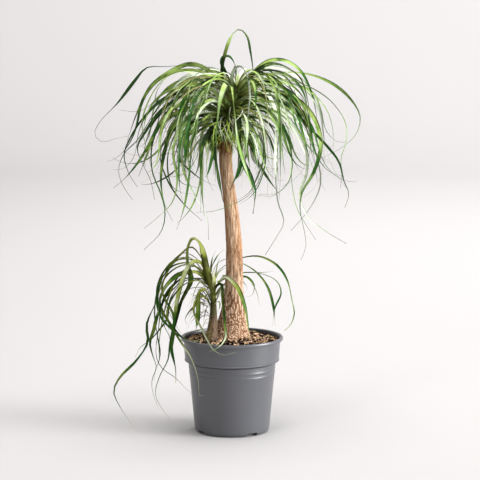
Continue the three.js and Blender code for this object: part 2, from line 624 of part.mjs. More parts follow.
const plant = new THREE.Group();
plant.name = 'potted_ponytail_palm';
plant.add(
  meshOf('pot', potSolid(), COLOURS.pot, 0.5),
  meshOf('bark_chips', soilSolid(), COLOURS.soil, 0.95),
  meshOf('trunk', trunkSolid(), COLOURS.trunk, 0.9),
  meshOf('crown_leaves', crownSolid(), COLOURS.crown, 0.55),
  meshOf('shoot_stem', shootStemSolid(0), COLOURS.shootStem, 0.8),
  meshOf('shoot_leaves', shootLeavesSolid(), COLOURS.shootLeaves, 0.55),
);

export default plant;
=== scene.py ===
"""Potted ponytail palm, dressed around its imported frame.

Metres, +Z up, the origin under the middle of the pot, the plant's front towards -Y. Laid out as a
Blender add-on: sizes and colours in property groups, one operator for each piece and for the stage.
"""

import math

import bpy
import numpy as np
from mathutils import Euler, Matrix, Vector, noise


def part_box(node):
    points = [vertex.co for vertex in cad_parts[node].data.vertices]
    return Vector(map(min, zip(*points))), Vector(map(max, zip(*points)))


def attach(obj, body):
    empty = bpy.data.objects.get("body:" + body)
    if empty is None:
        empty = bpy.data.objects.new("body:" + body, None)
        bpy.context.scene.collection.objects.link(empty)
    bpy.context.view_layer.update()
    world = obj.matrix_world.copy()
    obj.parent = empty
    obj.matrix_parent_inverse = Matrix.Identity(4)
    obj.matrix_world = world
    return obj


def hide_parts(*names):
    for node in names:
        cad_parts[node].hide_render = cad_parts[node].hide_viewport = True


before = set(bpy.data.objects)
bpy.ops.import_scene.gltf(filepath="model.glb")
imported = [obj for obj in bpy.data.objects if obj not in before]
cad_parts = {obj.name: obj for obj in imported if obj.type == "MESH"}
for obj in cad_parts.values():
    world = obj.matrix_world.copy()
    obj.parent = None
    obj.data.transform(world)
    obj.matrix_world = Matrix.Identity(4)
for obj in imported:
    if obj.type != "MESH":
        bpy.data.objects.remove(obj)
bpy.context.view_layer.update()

bl_info = {
    "name": "Potted Ponytail Palm",
    "version": (1, 0, 0),
    "blender": (4, 5, 0),
    "location": "3D View > Sidebar > Palm",
    "description": "Builds a ponytail palm with a young side shoot in a tapered plastic pot",
    "category": "Object",
}

MM = 0.001
# Step and span of the repeatable draws
DRAW_STEP = 16807
DRAW_SPAN = 2147483647
GOLDEN_ANGLE = math.pi * (3 - math.sqrt(5))
FRONT = -math.pi / 2

# Pot and bed, in metres: what no setting holds
BASE_RADIUS = 0.069
POT_FLOOR = 0.0022
FOOT_TOP = 0.010
STEP_FOOT = 0.144
STEP_OUT = 0.007
LIP_HIGH = 0.007
RING_HEIGHTS = (0.123, 0.133)
RING_HALF = 0.0024
RING_SWELL = 0.00065
DRAIN_PLACE = 0.074
DRAIN_SIZE = (0.017, 0.024, 0.011)
DRAIN_TURN = -56
BED_FLOOR = 0.0028
BED_RADIUS = 0.097
BED_SINK = 0.001
# Where the trunk and the shoot come out of the bed: x, y and radius
STEM_FEET = ((-0.004, 0, 0.041), (-0.036, -0.0365, 0.010))

# Leaf meshes: rows along a long leaf, a short one and a scrap, and the corners of a section
LONG_ROWS = 32
SHORT_ROWS = 12
SCRAP_ROWS = 6
BLADE_CORNERS = 4
# How far the crown may reach to the front and the back, in millimetres
CROWN_FRONT = -180
CROWN_BACK = 198
# Under this height a leaf of the crown keeps this far from the trunk, in millimetres
TRUNK_TOP = 606
LEAF_GAP = 8.5

# Colours that no setting holds
# Near black painted shade on the pot's inner wall above the bed
INSIDE_SHADE = (0.018, 0.018, 0.02)
# Near black painted shade in the gaps between the chips
GAP_SHADE = (0.008, 0.003, 0.002)
FIBRE_STRAW = (0.5, 0.38, 0.17)
RIDGE_CUT = (0.13, 0.065, 0.028)
# Brown painted shade on the trunk's left side
LEFT_SIDE_SHADE = (0.2, 0.095, 0.03)
SCALE_STRAW = (0.42, 0.32, 0.1)
FRESH_GREEN = (0.4, 0.58, 0.08)
DRY_LEAF = (0.36, 0.27, 0.13)
CROWN_LEAF_FOOT = (0.18, 0.22, 0.03)
CROWN_LEAF_TIP = (0.12, 0.1, 0.06)
SHOOT_LEAF_FOOT = (0.12, 0.14, 0.02)
SHOOT_LEAF_TIP = (0.36, 0.4, 0.2)
SHEATH_GREEN = (0.22, 0.2, 0.05)

# Floor and backdrop, in metres: the margin is the ring around the flat middle
FLOOR_RADIUS = 7
FLOOR_MARGIN = 3.2
BACKDROP_HEIGHT = 5
BACKDROP_SWEEP = 2.2
# Lights, in metres: place, aim and width across
LIGHTS = {
    "key": ((5.2, -1.5, 1.1), (0, 0, 0.35), 2.6),
    "top": ((0.3, -0.3, 3.6), (0, 0, 0.3), 3),
    "front": ((-2.6, -3.4, 2.4), (0, 0, 0.2), 1.2),
    "wall": ((1.2, 2.4, 4.4), (1.2, 7, 1.5), 2),
}
DAYLIGHT = (1, 0.985, 0.98, 1)
# Camera, at the photograph's angle: place in metres, dip in degrees, lens and sensor in millimetres
CAMERA_PLACE = (0.0165, -4.5, 1.039)
CAMERA_DIP = 8.12
LENS = 166.6
SENSOR = 36

# Heights, middles and radii of the round stems, in millimetres: z, x, y, radius
TRUNK_STATIONS = [
    (148, -4, 0, 14),
    (156, -4, 0, 32),
    (172, -4, 0, 45),
    (190, -4, 0, 46),
    (204, -3.5, 0, 39.5),
    (233, 0.5, 1, 29),
    (262, 2, 2, 23),
    (306, 4.5, 3, 19),
    (364, 5, 4, 17),
    (422, 2, 3, 15.7),
    (479, -3.5, 2, 13.8),
    (551, -12.5, 0, 13.5),
    (602, -13.5, 0, 13.2),
]
CROWN_STATIONS = [
    (602, -13.5, 0, 13),
    (618, -11, 0, 16),
    (645, -4, -1, 17),
    (675, 3, -1, 15.5),
    (700, 9, -2, 11),
    (716, 12, -2, 4),
]
SHOOT_STEM_STATIONS = [
    (170, -38, -38, 9),
    (184, -40, -37.5, 14),
    (197, -41.5, -36.5, 13.4),
    (210, -40.5, -35, 12),
    (228, -39, -32.5, 9.6),
    (247, -38, -30, 7.8),
]
SHOOT_CORE_STATIONS = [
    (247, -38, -30, 7.6),
    (266, -37.8, -29, 6.4),
    (283, -37.6, -28, 5.6),
    (298, -39.6, -27.5, 6.2),
    (323, -45.8, -27, 7),
    (343, -52, -27, 6.5),
    (360, -57.5, -27, 4.5),
    (372, -61, -27, 2),
]

# Heights of the rings that each stem is drawn up by
TRUNK_LEVELS = [*np.arange(151, 190, 5.0), *np.arange(190, 602.5, 1.5)]
CROWN_LEVELS = np.arange(604, 713, 4.0)
SHOOT_STEM_LEVELS = np.arange(172, 247.5, 1.5)
SHOOT_CORE_LEVELS = np.arange(249, 373, 3.0)

# Leaves that stand out from the fountain: width, twist in degrees and the points that the middle
# line runs through, from the core to the tip, in millimetres
CROWN_COURSES = {
    "top loop": (7, 70, [(5, -5, 685), (-15, -10, 710), (-20, -15, 745), (-12, -20, 785), (0, -25, 815),
        (15, -25, 828), (30, -25, 815), (38, -28, 780), (43, -30, 740), (40, -30, 700)]),
    "small top curl": (5, 20, [(5, 0, 690), (-15, 8, 715), (-20, 15, 745), (-18, 18, 765), (-5, 20, 770),
        (5, 20, 757), (13, 20, 738)]),
    "pale arch": (7, -30, [(5, -5, 690), (0, -25, 730), (8, -38, 752), (18, -43, 755), (30, -52, 738),
        (36, -65, 700), (33, -72, 665), (28, -75, 620)]),
    "left long loop": (7, 60, [(-5, 0, 685), (-45, 0, 735), (-85, -5, 753), (-135, -10, 752),
        (-172, -12, 750), (-195, -14, 725), (-230, -17, 680), (-270, -20, 637), (-278, -20, 615),
        (-262, -20, 600), (-235, -20, 607), (-210, -20, 612)]),
    "left high arch": (9, -25, [(-5, 0, 680), (-48, 15, 743), (-85, 25, 755), (-125, 30, 740),
        (-163, 35, 713), (-183, 38, 680), (-203, 40, 632), (-215, 40, 595)]),
    "left inner arch": (7, 30, [(-5, 0, 675), (-55, 8, 723), (-97, 8, 742), (-136, 8, 728),
        (-170, 10, 680), (-183, 10, 632), (-173, 10, 580), (-165, 10, 545)]),
    "left hooked fall": (8, 40, [(-5, 0, 672), (-68, -20, 718), (-120, -32, 702), (-160, -45, 655),
        (-190, -52, 607), (-217, -56, 580), (-228, -58, 547), (-220, -60, 517), (-200, -60, 487)]),
    "left rear fall": (7, -35, [(-5, 0, 665), (-73, 20, 702), (-137, 32, 685), (-182, 42, 643),
        (-210, 46, 600), (-222, 48, 567), (-212, 50, 527), (-195, 50, 500)]),
    "left middle fall": (8, 25, [(-5, 0, 655), (-73, 5, 698), (-138, 6, 667), (-175, 8, 620),
        (-193, 10, 585), (-183, 10, 553), (-167, 10, 520), (-158, 10, 478)]),
    "left deep fall": (8, -45, [(-5, -4, 655), (-72, -25, 694), (-128, -42, 663), (-158, -57, 608),
        (-160, -67, 548), (-142, -73, 500), (-134, -77, 465), (-142, -79, 425), (-177, -80, 388)]),
    "left front fall": (7, 30, [(-5, -4, 650), (-56, -30, 694), (-96, -55, 652), (-117, -75, 590),
        (-109, -90, 527), (-120, -96, 485), (-145, -100, 460), (-175, -100, 435)]),
    "left crossing fall": (8, 50, [(-5, 4, 648), (-65, 20, 670), (-114, 36, 632), (-148, 47, 573),
        (-134, 54, 516), (-105, 58, 470), (-62, 60, 428)]),
    "left near fall": (7, -30, [(-5, -4, 642), (-52, -20, 677), (-86, -36, 642), (-100, -50, 587),
        (-96, -58, 543), (-74, -65, 496), (-50, -70, 455), (-47, -70, 407)]),
    "left flick": (5, 20, [(-5, 2, 672), (-73, 16, 711), (-136, 25, 698), (-173, 30, 667),
        (-195, 30, 658), (-230, 30, 661)]),
    "front broad": (11, 34, [(2, -4, 670), (-8, -25, 705), (-12, -53, 720), (-21, -74, 697),
        (-27, -97, 661), (-31, -111, 623), (-29, -115, 588)]),
    "front long broad": (11, -40, [(2, -4, 668), (-2, -22, 705), (0, -45, 715), (7, -70, 655),
        (13, -87, 607), (28, -100, 556), (42, -107, 515), (46, -110, 490), (42, -110, 465)]),
    "front left arch": (10, 25, [(-2, -4, 662), (-30, -22, 695), (-50, -42, 713), (-65, -62, 690),
        (-71, -81, 646), (-82, -93, 597), (-77, -95, 561)]),
    "beside trunk left": (8, 35, [(-6, -4, 628), (-32, -20, 648), (-46, -38, 612), (-34, -50, 567),
        (-26, -58, 523), (-18, -60, 483)]),
    "beside trunk right": (8, -35, [(-2, -4, 635), (18, -22, 652), (29, -45, 613), (16, -62, 568),
        (6, -69, 532), (-4, -70, 508)]),
    "curl across trunk": (5, 30, [(0, -2, 650), (41, -21, 645), (61, -37, 586), (59, -47, 536),
        (37, -53, 498), (-2, -57, 476), (-38, -60, 464), (-72, -60, 462)]),
    "right high arch": (8, 20, [(8, 0, 690), (41, 5, 736), (73, 6, 762), (106, 7, 764), (136, 8, 746),
        (157, 9, 711), (169, 10, 669), (175, 10, 626)]),
    "right broad arch": (10, -30, [(8, 0, 685), (45, -12, 739), (77, -17, 758), (111, -21, 752),
        (137, -24, 732), (151, -27, 696), (158, -29, 650), (156, -30, 605)]),
    "right outer loop": (7, 45, [(8, 0, 682), (57, 11, 730), (110, 16, 739), (163, 20, 733),
        (210, 24, 712), (245, 26, 680), (262, 28, 647), (254, 29, 612), (223, 30, 583), (184, 30, 562)]),
    "right inner loop": (8, -40, [(8, 0, 678), (61, -10, 721), (117, -16, 725), (166, -21, 708),
        (206, -24, 678), (230, -27, 639), (231, -28, 601), (221, -29, 569), (223, -30, 536),
        (220, -30, 508)]),
    "right flick": (6, 30, [(8, 2, 675), (61, 21, 715), (119, 33, 714), (164, 41, 697), (182, 46, 660),
        (193, 49, 618), (214, 50, 595), (236, 50, 593)]),
    "right dark fall": (9, 50, [(5, 0, 668), (61, -16, 693), (117, -28, 674), (153, -37, 634),
        (192, -43, 594), (216, -47, 562), (226, -49, 524), (236, -50, 498), (228, -50, 470)]),
    "right broad fall": (11, -25, [(5, -4, 665), (45, -24, 706), (77, -35, 694), (93, -48, 651),
        (89, -61, 598), (89, -72, 539), (93, -79, 485), (105, -82, 445), (89, -84, 413), (67, -85, 378)]),
    "right deep fall": (9, 45, [(5, -2, 660), (65, -12, 701), (125, -20, 691), (164, -25, 653),
        (180, -30, 599), (166, -34, 541), (142, -37, 500), (138, -38, 464), (146, -39, 423),
        (150, -40, 390), (140, -40, 362)]),
    "right rear fall": (8, -30, [(5, 2, 655), (69, 21, 676), (123, 34, 648), (158, 44, 602),
        (179, 52, 546), (182, 56, 502), (161, 59, 455), (122, 60, 407)]),
    "right sweeping tip": (7, 30, [(5, 2, 650), (65, 6, 675), (114, 10, 646), (149, 14, 591),
        (153, 16, 535), (139, 18, 487), (156, 19, 442), (191, 20, 413), (236, 20, 386)]),
    "right far fall": (7, -20, [(5, 4, 645), (61, 31, 665), (101, 49, 630), (122, 65, 575),
        (124, 78, 511), (135, 86, 452), (175, 90, 384)]),
    "right inward curl": (6, 25, [(4, 4, 640), (53, 27, 657), (94, 43, 627), (119, 56, 576),
        (120, 65, 521), (99, 68, 488), (54, 70, 481)]),
}

# Width, twist, dryness and points of the thin leaves that hang around the trunk
FINE_CROWN_COURSES = [
    (2.6, 20, 0.3, [(0, -2, 640), (46, -14, 646), (64, -22, 570), (49, -20, 523), (39, -20, 502),
        (29, -20, 492), (11, -20, 482), (-4, -24, 478)]),
    (2.4, 20, 0.6, [(0, -2, 640), (50, -16, 642), (68, -24, 570), (59, -24, 524), (47, -24, 500),
        (34, -24, 486), (14, -24, 473)]),
    (2.8, -20, 0.2, [(0, -2, 640), (-60, -14, 655), (-98, -26, 610), (-105, -30, 564), (-91, -30, 549),
        (-71, -30, 532), (-48, -28, 518), (-30, -26, 511)]),
    (2.4, 30, 0.5, [(0, -2, 636), (-70, -20, 650), (-108, -38, 590), (-105, -45, 524), (-79, -45, 512),
        (-52, -45, 507)]),
    (2.4, 0, 0.5, [(0, -2, 636), (-84, -24, 650), (-128, -42, 580), (-121, -45, 513), (-105, -45, 502),
        (-95, -45, 498), (-79, -45, 498)]),
    (7.5, 20, 0, [(0, -2, 640), (10, -20, 652), (17, -34, 612), (17, -37, 560), (13, -40, 539),
        (4, -40, 523), (-3, -38, 504)]),
    (8, -30, 0, [(2, -4, 655), (12, -30, 668), (14, -54, 630), (17, -60, 579), (26, -62, 557),
        (37, -62, 536), (44, -60, 518), (48, -58, 505), (46, -56, 481), (43, -54, 458)]),
    (2.6, 0, 0.4, [(2, -2, 650), (60, -10, 672), (108, -24, 620), (122, -30, 560), (117, -30, 525),
        (108, -30, 511), (94, -30, 498), (80, -30, 491), (51, -30, 492)]),
    (8, 20, 0, [(-2, -4, 640), (-24, -20, 656), (-35, -32, 620), (-34, -34, 585), (-30, -32, 550),
        (-25, -28, 516), (-20, -26, 493), (-17, -25, 478)]),
    (5, 20, 0, [(6, -2, 700), (-10, -2, 735), (-21, -4, 760), (-18, -5, 771), (-6, -6, 773), (2, -8, 765),
        (9, -10, 747)]),
]

# The same for the shoot's leaves
SHOOT_COURSES = {
    "crest leaf": (18, 24, [(-50, -25, 325), (-57, -26, 368), (-67, -30, 398), (-79, -36, 406),
        (-89, -42, 389), (-90, -48, 359), (-83, -52, 322), (-97, -54, 290), (-109, -56, 257)]),
    "pale leaf": (12.5, -30, [(-50, -25, 330), (-65, -34, 357), (-83, -50, 357), (-97, -60, 332),
        (-109, -68, 292), (-116, -72, 244), (-121, -74, 193), (-115, -76, 150), (-114, -76, 113)]),
    "left arch": (7, 30, [(-51, -25, 335), (-65, -22, 368), (-83, -22, 386), (-102, -22, 373),
        (-126, -24, 345), (-141, -26, 308), (-137, -26, 273), (-120, -28, 235), (-103, -32, 207)]),
    "left middle arch": (6, -25, [(-50, -25, 327), (-71, -16, 360), (-98, -10, 372), (-123, -6, 352),
        (-145, -2, 312), (-152, 0, 272), (-140, 2, 233), (-119, 4, 205)]),
    "left rear arch": (5.5, 35, [(-50, -24, 323), (-78, -8, 355), (-111, 6, 355), (-138, 14, 333),
        (-155, 20, 294), (-153, 22, 256), (-133, 24, 212), (-128, 24, 176)]),
    "left outer fall": (8, -40, [(-50, -25, 324), (-86, -12, 362), (-125, -4, 352), (-148, 0, 310),
        (-158, -10, 264), (-157, -30, 232), (-153, -30, 207), (-147, -30, 168), (-149, -30, 152),
        (-156, -30, 136), (-160, -30, 110)]),
    "long floor leaf": (9, 45, [(-50, -25, 322), (-85, -36, 367), (-121, -46, 354), (-140, -54, 318),
        (-155, -60, 276), (-173, -60, 232), (-171, -60, 196), (-195, -60, 157), (-229, -60, 122),
        (-241, -60, 93), (-224, -60, 54), (-194, -60, 10)]),
    "hanging fall": (10.5, 0, [(-46, -25, 312), (-72, -36, 340), (-96, -46, 330), (-112, -50, 310),
        (-132, -50, 290), (-146, -50, 264), (-155, -50, 237), (-159, -50, 219), (-167, -50, 194),
        (-162, -50, 168), (-154, -50, 141), (-161, -50, 123), (-164, -50, 106), (-160, -50, 82),
        (-150, -50, 55)]),
    "crossing dark leaf": (6.5, 0, [(-48, -25, 316), (-80, -30, 352), (-118, -50, 352), (-140, -66, 330),
        (-152, -70, 295), (-148, -70, 260), (-139, -70, 242), (-129, -70, 231), (-111, -74, 215),
        (-97, -78, 206), (-82, -76, 201), (-64, -72, 199)]),
    "crossing green leaf": (7.5, 0, [(-46, -25, 308), (-75, -30, 335), (-110, -44, 335), (-136, -56, 310),
        (-146, -60, 283), (-139, -60, 256), (-128, -60, 238), (-112, -66, 219), (-99, -70, 207),
        (-84, -70, 202), (-68, -64, 199)]),
    "long straight leaf": (7.5, 0, [(-48, -25, 318), (-82, -40, 352), (-118, -56, 345), (-142, -64, 315),
        (-135, -66, 284), (-127, -66, 272), (-118, -66, 250), (-117, -66, 222), (-120, -66, 200),
        (-123, -66, 179), (-119, -66, 161), (-114, -66, 141), (-114, -66, 112)]),
    "kinked leaf": (7, 0, [(-46, -25, 306), (-70, -32, 322), (-96, -38, 318), (-113, -40, 303),
        (-126, -40, 279), (-130, -40, 252), (-134, -40, 237), (-147, -40, 219), (-166, -40, 197),
        (-188, -40, 180), (-198, -40, 160)]),
    "rear slim fall": (6, 0, [(-46, -25, 300), (-80, -10, 320), (-118, -20, 310), (-142, -28, 275),
        (-141, -30, 240), (-137, -30, 220), (-129, -30, 205), (-125, -30, 184), (-124, -30, 170),
        (-121, -30, 153)]),
    "straight fall": (6, 20, [(-48, -25, 316), (-73, -40, 349), (-101, -52, 339), (-123, -60, 303),
        (-140, -64, 246), (-148, -66, 191), (-148, -66, 156), (-156, -66, 135)]),
    "broad short leaf": (10, -20, [(-46, -26, 306), (-65, -38, 333), (-85, -50, 339),
        (-113, -60, 330), (-135, -66, 308), (-145, -70, 282), (-151, -72, 254)]),
    "curved fall": (10, 30, [(-46, -25, 304), (-63, -24, 322), (-81, -50, 318), (-92, -62, 305),
        (-105, -62, 273), (-112, -62, 247), (-119, -62, 222), (-126, -62, 190), (-130, -62, 160),
        (-147, -62, 126), (-156, -62, 91), (-150, -62, 70), (-127, -62, 37)]),
    "crossing tail": (7, -30, [(-46, -25, 308), (-74, 4, 332), (-107, 20, 313), (-141, 30, 267),
        (-153, 34, 204), (-158, 34, 150), (-146, 32, 124), (-118, 28, 104), (-96, 22, 82),
        (-84, 20, 70)]),
    "rim leaf": (6.5, 35, [(-43, -27, 286), (-60, -46, 318), (-95, -76, 318), (-124, -98, 285),
        (-130, -104, 254), (-112, -104, 220), (-97, -104, 196), (-84, -104, 176), (-76, -104, 157),
        (-70, -104, 137), (-67, -104, 114), (-66, -106, 97), (-63, -106, 91), (-57, -106, 95)]),
    "inner broad leaf": (13, 15, [(-42, -28, 276), (-55, -44, 301), (-66, -56, 298), (-68, -62, 273),
        (-69, -64, 247), (-73, -66, 219)]),
    "dry tipped leaf": (6, 40, [(-41, -28, 265), (-57, -44, 288), (-73, -60, 283), (-77, -70, 260),
        (-68, -80, 241), (-58, -92, 224), (-48, -105, 206), (-36, -110, 189), (-16, -111, 179),
        (8, -112, 185)]),
    "small hook leaf": (6.5, -20, [(-40, -28, 260), (-52, -34, 288), (-63, -44, 300), (-69, -50, 285),
        (-76, -50, 269), (-87, -50, 257), (-94, -50, 245), (-95, -50, 237), (-92, -50, 231)]),
    "short dark leaf": (6, 0, [(-40, -28, 255), (-52, -34, 280), (-66, -40, 293), (-77, -40, 269),
        (-78, -40, 257), (-74, -40, 239)]),
    "upper fine arch": (5, 15, [(-42, -27, 290), (-57, -4, 315), (-78, 6, 317), (-105, 14, 306),
        (-128, 18, 284), (-138, 20, 263)]),
    "lower fine arch": (5, -15, [(-42, -27, 282), (-59, 0, 297), (-82, 14, 295), (-111, 24, 277),
        (-128, 28, 243), (-137, 30, 213)]),
    "before trunk leaf": (13.5, -25, [(-42, -28, 288), (-26, -44, 318), (-13, -56, 330), (10, -70, 312),
        (26, -78, 274), (32, -82, 241), (36, -84, 206)]),
    "over rim leaf": (7.5, 20, [(-40, -29, 272), (-32, -42, 308), (-21, -50, 314), (-19, -54, 284),
        (-15, -62, 248), (-13, -74, 223), (-12, -94, 212), (-24, -111, 197), (-46, -110, 185)]),
    "rear high arch": (8, 30, [(-43, -26, 300), (-27, 20, 331), (-8, 38, 342), (23, 46, 354),
        (58, 46, 356), (93, 44, 338), (114, 40, 308), (124, 36, 266), (129, 32, 238), (121, 30, 215),
        (108, 28, 203)]),
    "rear middle arch": (8, -30, [(-46, -25, 312), (-30, 22, 345), (-8, 40, 352), (23, 50, 340),
        (50, 56, 322), (73, 58, 292), (85, 60, 254), (90, 60, 208)]),
    "rear low arch": (6, 20, [(-41, -27, 284), (-24, 22, 306), (2, 40, 319), (31, 48, 323),
        (62, 56, 318), (93, 60, 302), (102, 60, 277), (89, 60, 245), (84, 60, 206)]),
    "rear curl": (6, 30, [(-40, -28, 268), (-24, 24, 294), (8, 40, 312), (31, 46, 313),
        (46, 48, 296), (41, 48, 275), (25, 46, 269)]),
    "upright tip": (5, 10, [(-45, -26, 330), (-43, -22, 345), (-39, -19, 365), (-33, -18, 377)]),
    "right small leaf": (7, 20, [(-39, -29, 256), (-30, -34, 282), (-24, -38, 299), (-18, -42, 306),
        (-16, -46, 294), (-22, -48, 274)]),
}

# Share of its length at which a leaf starts to narrow, where its width alone doesn't give it
NARROWS = {
    "top loop": 0.6, "left long loop": 0.6, "right outer loop": 0.66, "before trunk leaf": 0.82,
    "over rim leaf": 0.7, "inner broad leaf": 0.8, "small hook leaf": 0.6, "rear middle arch": 0.85,
    "rear low arch": 0.8, "rear high arch": 1, "dry tipped leaf": 0.75, "rear curl": 0.6, "pale leaf": 0.6,
    "long floor leaf": 0.72, "left outer fall": 0.75, "left middle arch": 0.75, "curved fall": 0.45,
    "hanging fall": 0.65, "crossing dark leaf": 0.75, "crossing green leaf": 0.7, "long straight leaf": 0.8,
    "rim leaf": 0.6, "kinked leaf": 0.45, "crossing tail": 0.6,
}
# Where a leaf is broad to the front: the place along it, the reach and the width elsewhere
SWELLS = {
    "left long loop": (0.55, 0.09, 0.3),
    "right outer loop": (0.57, 0.17, 0.35),
    "rear high arch": (0.64, 0.17, 0.5),
    "rear middle arch": (0.78, 0.2, 0.5),
    "rear low arch": (0.83, 0.12, 0.55),
    "before trunk leaf": (0.56, 0.26, 0.4),
    "long floor leaf": (0.6, 0.16, 0.5),
    "hanging fall": (0.52, 0.1, 0.4),
    "left outer fall": (0.72, 0.12, 0.5),
    "curved fall": (0.36, 0.2, 0.5),
    "pale leaf": (0.3, 0.35, 0.55),
}
# How far a leaf's face is turned from the front, at even steps along it, in degrees
TURNS = {
    "top loop": (-20, -20, -20, -20, 0, 80, 60, 40, 50, 65, 75),
    "left long loop": (80, 84, 84, 80, 50, 10, 10, 60, 60, 50, 50),
    "crest leaf": (20, 15, 25, 80, 70, 65, 60, 30, 60, 60, 40),
    "pale leaf": (60, 45, 20, 10, 5, 10, 30, 60, 30, 10, 10),
    "before trunk leaf": (-84, -80, -60, -30, -20, -30, -40, -50, -60, -50, -40),
    "over rim leaf": (-20, 0, 0, 10, 20, 10, 0, 10),
    "rear high arch": (-88, -84, -80, -70, -50, -20, -20, -40, -70, -60, -20, 0),
    "rear middle arch": (-84, -84, -80, -70, -50, -35, -20, -10, -10),
    "rear low arch": (-84, -84, -84, -80, -70, -60, -30, -10, 0),
    "rear curl": (-60, -40, -30, -20, -30, -60),
    "left arch": (80, 75, 60, 40, 20, 50, 90, 60, 20, 10),
    "left middle arch": (84, 80, 80, 70, 50, 120, 140, 120, 60, 40),
    "left rear arch": (84, 80, 60, 30, 20, 40, 80, 100, 60),
    "left outer fall": (84, 80, 70, 50, 30, 20, 40, 80, 40, 20, 60),
    "long floor leaf": (80, 75, 60, 60, 70, 5, 70, 20, 30, 30, 40),
    "hanging fall": (80, 70, 60, 40, 15, 5, 20, 20, 60, 40, 60, 60),
    "crossing dark leaf": (80, 80, 60, 50, 70, 20, 10, 10, 20, 50),
    "crossing green leaf": (80, 70, 60, 60, 50, 20, 20, 30, 40),
    "long straight leaf": (80, 80, 70, 60, 50, 30, 20, 10, 20, 30, 20),
    "kinked leaf": (84, 84, 80, 60, 30, 20, 30, 50),
    "rear slim fall": (70, 60, 50, 40, 30, 30),
    "short dark leaf": (84, 70, 30, 10, 20),
    "straight fall": (80, 70, 50, 30, 20, 10, 20, 40),
    "broad short leaf": (84, 80, 50, 25, 20, 30, 50, 60),
    "curved fall": (84, 84, 60, 15, 15, 30, 50, 30, 40, 50),
    "crossing tail": (70, 65, 50, 40, 60, 100, 60, 40, 50),
    "rim leaf": (84, 84, 70, 40, 20, 10, 20, 30, 40),
    "inner broad leaf": (84, 84, 50, 10, 5, 10),
    "small hook leaf": (84, 84, 60, 40, 20, 20),
    "dry tipped leaf": (84, 60, 30, 20, 20, 30, 40, 60, 60),
    "upper fine arch": (75, 75, 70, 60),
    "lower fine arch": (75, 75, 60, 60),
}
# How pale a leaf is, at even steps along it where there are several numbers
CROWN_TONES = {
    "top loop": (-0.1, -0.1, -0.2, -0.3, -0.1, 0.5, 0.2, -0.2, -0.4, -0.1, 0.1),
    "small top curl": 0.8,
    "pale arch": 0.8,
    "front broad": 0.45,
    "front long broad": 0.35,
    "front left arch": 0.6,
    "left long loop": (0.4, 0.3, 0.3, 0.1, -0.3, -0.3, -0.2, 0.1, 0.1),
    "right outer loop": 0.3,
    "right high arch": 0.1,
    "right broad arch": 0,
    "right dark fall": -0.3,
    "right deep fall": 0.1,
    "left deep fall": 0.1,
    "right flick": 0.2,
    "right inner loop": 0.2,
}
SHOOT_TONES = {
    "crest leaf": (0.1, 0.05, 0.1, 0.4, 0.2, 0.1, 0.1, 0, 0),
    "pale leaf": (0.3, 0.5, 0.8, 0.6, 0.2, 0, -0.1, -0.1),
    "left arch": (0, 0, 0.2, 0.1, -0.1, -0.3, 0, 0.1),
    "left middle arch": (0, -0.1, -0.1, -0.3, -0.3, 0, 0.1),
    "left rear arch": (0, 0, 0.1, -0.2, -0.3, 0),
    "left outer fall": (0, 0.2, 0.2, 0, 0.2, 0, 0.1),
    "long floor leaf": (0, 0.1, 0.2, 0.2, 0.1, -0.1, -0.4, 0.1, 0.2, -0.2, 0.1),
    "broad short leaf": (0, 0.2, 0.35, 0.3),
    "rim leaf": (0.3, 0.3, 0.1, 0, 0.1, 0.3, 0.8, 1.2, 1.25),
    "hanging fall": (0, 0.1, 0, -0.1, 0.1, 0.1, 0, 0.1),
    "crossing dark leaf": (0.2, 0.2, 0, -0.2, -0.3, -0.1, 0, 0.2),
    "crossing green leaf": (0, 0.1, 0.1, 0.1, 0.3),
    "long straight leaf": (0, 0.1, 0.1, 0.1, 0.1, 0.2, 0.2, 0.1, -0.2, -0.6, -0.6),
    "kinked leaf": (0.2, 0, -0.2, 0),
    "rear slim fall": 0,
    "short dark leaf": -0.1,
    "inner broad leaf": (0, 0.1, 0.3, 0.2),
    "small hook leaf": -0.1,
    "straight fall": 0.1,
    "curved fall": (0.4, 0.1, 0, -0.2, -0.3, -0.2, 0, 0.2, 0),
    "crossing tail": (0.2, 0.1, -0.1, -0.1, -0.5, -0.2, 0.2),
    "before trunk leaf": (0, 0.2, 0.85, 0.5, 0, -0.1, 0.1, 0.2),
    "dry tipped leaf": (0, 0.1, 0.2, 0.5, 0.9, 1.1, 1.1, 1.1),
    "over rim leaf": (-0.1, -0.1, -0.1, 0, 0.4, 1.05, 1.1),
    "rear high arch": (0.2, 0.2, 0.1, -0.1, 0, 0.2),
    "rear middle arch": (0.5, 0.5, 0.2, -0.1, 0),
    "rear low arch": (0.4, 0.4, 0.1, -0.3, -0.3),
    "rear curl": 0.1,
}
# Width, twist and points of the shoot's thin leaves
FINE_SHOOT_COURSES = [
    (3, 30, [(-43, -24, 335), (-41, -22, 345), (-29, -16, 367), (-16, -12, 380)]),
    (3.5, 20, [(-39, -26, 300), (-35, -24, 318), (-26, -14, 333), (-12, -4, 341)]),
    (3, -20, [(-39, -26, 296), (-33, -20, 330), (-28, -14, 354), (-22, -8, 365)]),
    (5, 40, [(-40, -28, 286), (-33, -36, 306), (-26, -40, 316), (-21, -42, 304), (-24, -44, 286)]),
    (4, -40, [(-40, -28, 276), (-32, -38, 292), (-25, -42, 298), (-22, -44, 288)]),
    (4, 30, [(-40, -29, 262), (-33, -38, 274), (-26, -42, 276), (-25, -44, 264), (-30, -46, 254)]),
    (3, 30, [(-30, 30, 305), (4, 44, 315), (23, 46, 303), (31, 46, 289), (27, 46, 279)]),
    (2.2, 0, [(-20, 36, 318), (30, 44, 312), (49, 44, 286), (58, 44, 251)]),
    (2.2, 0, [(-20, 36, 312), (23, 50, 321), (62, 52, 321.5), (91, 54, 324)]),
]

# A broad light green sheath on the front of the shoot
LIGHT_SHEATH = [(-38, -32, 296), (-36, -35, 312), (-37, -34, 338)]


# Sizes and colours that a user would change

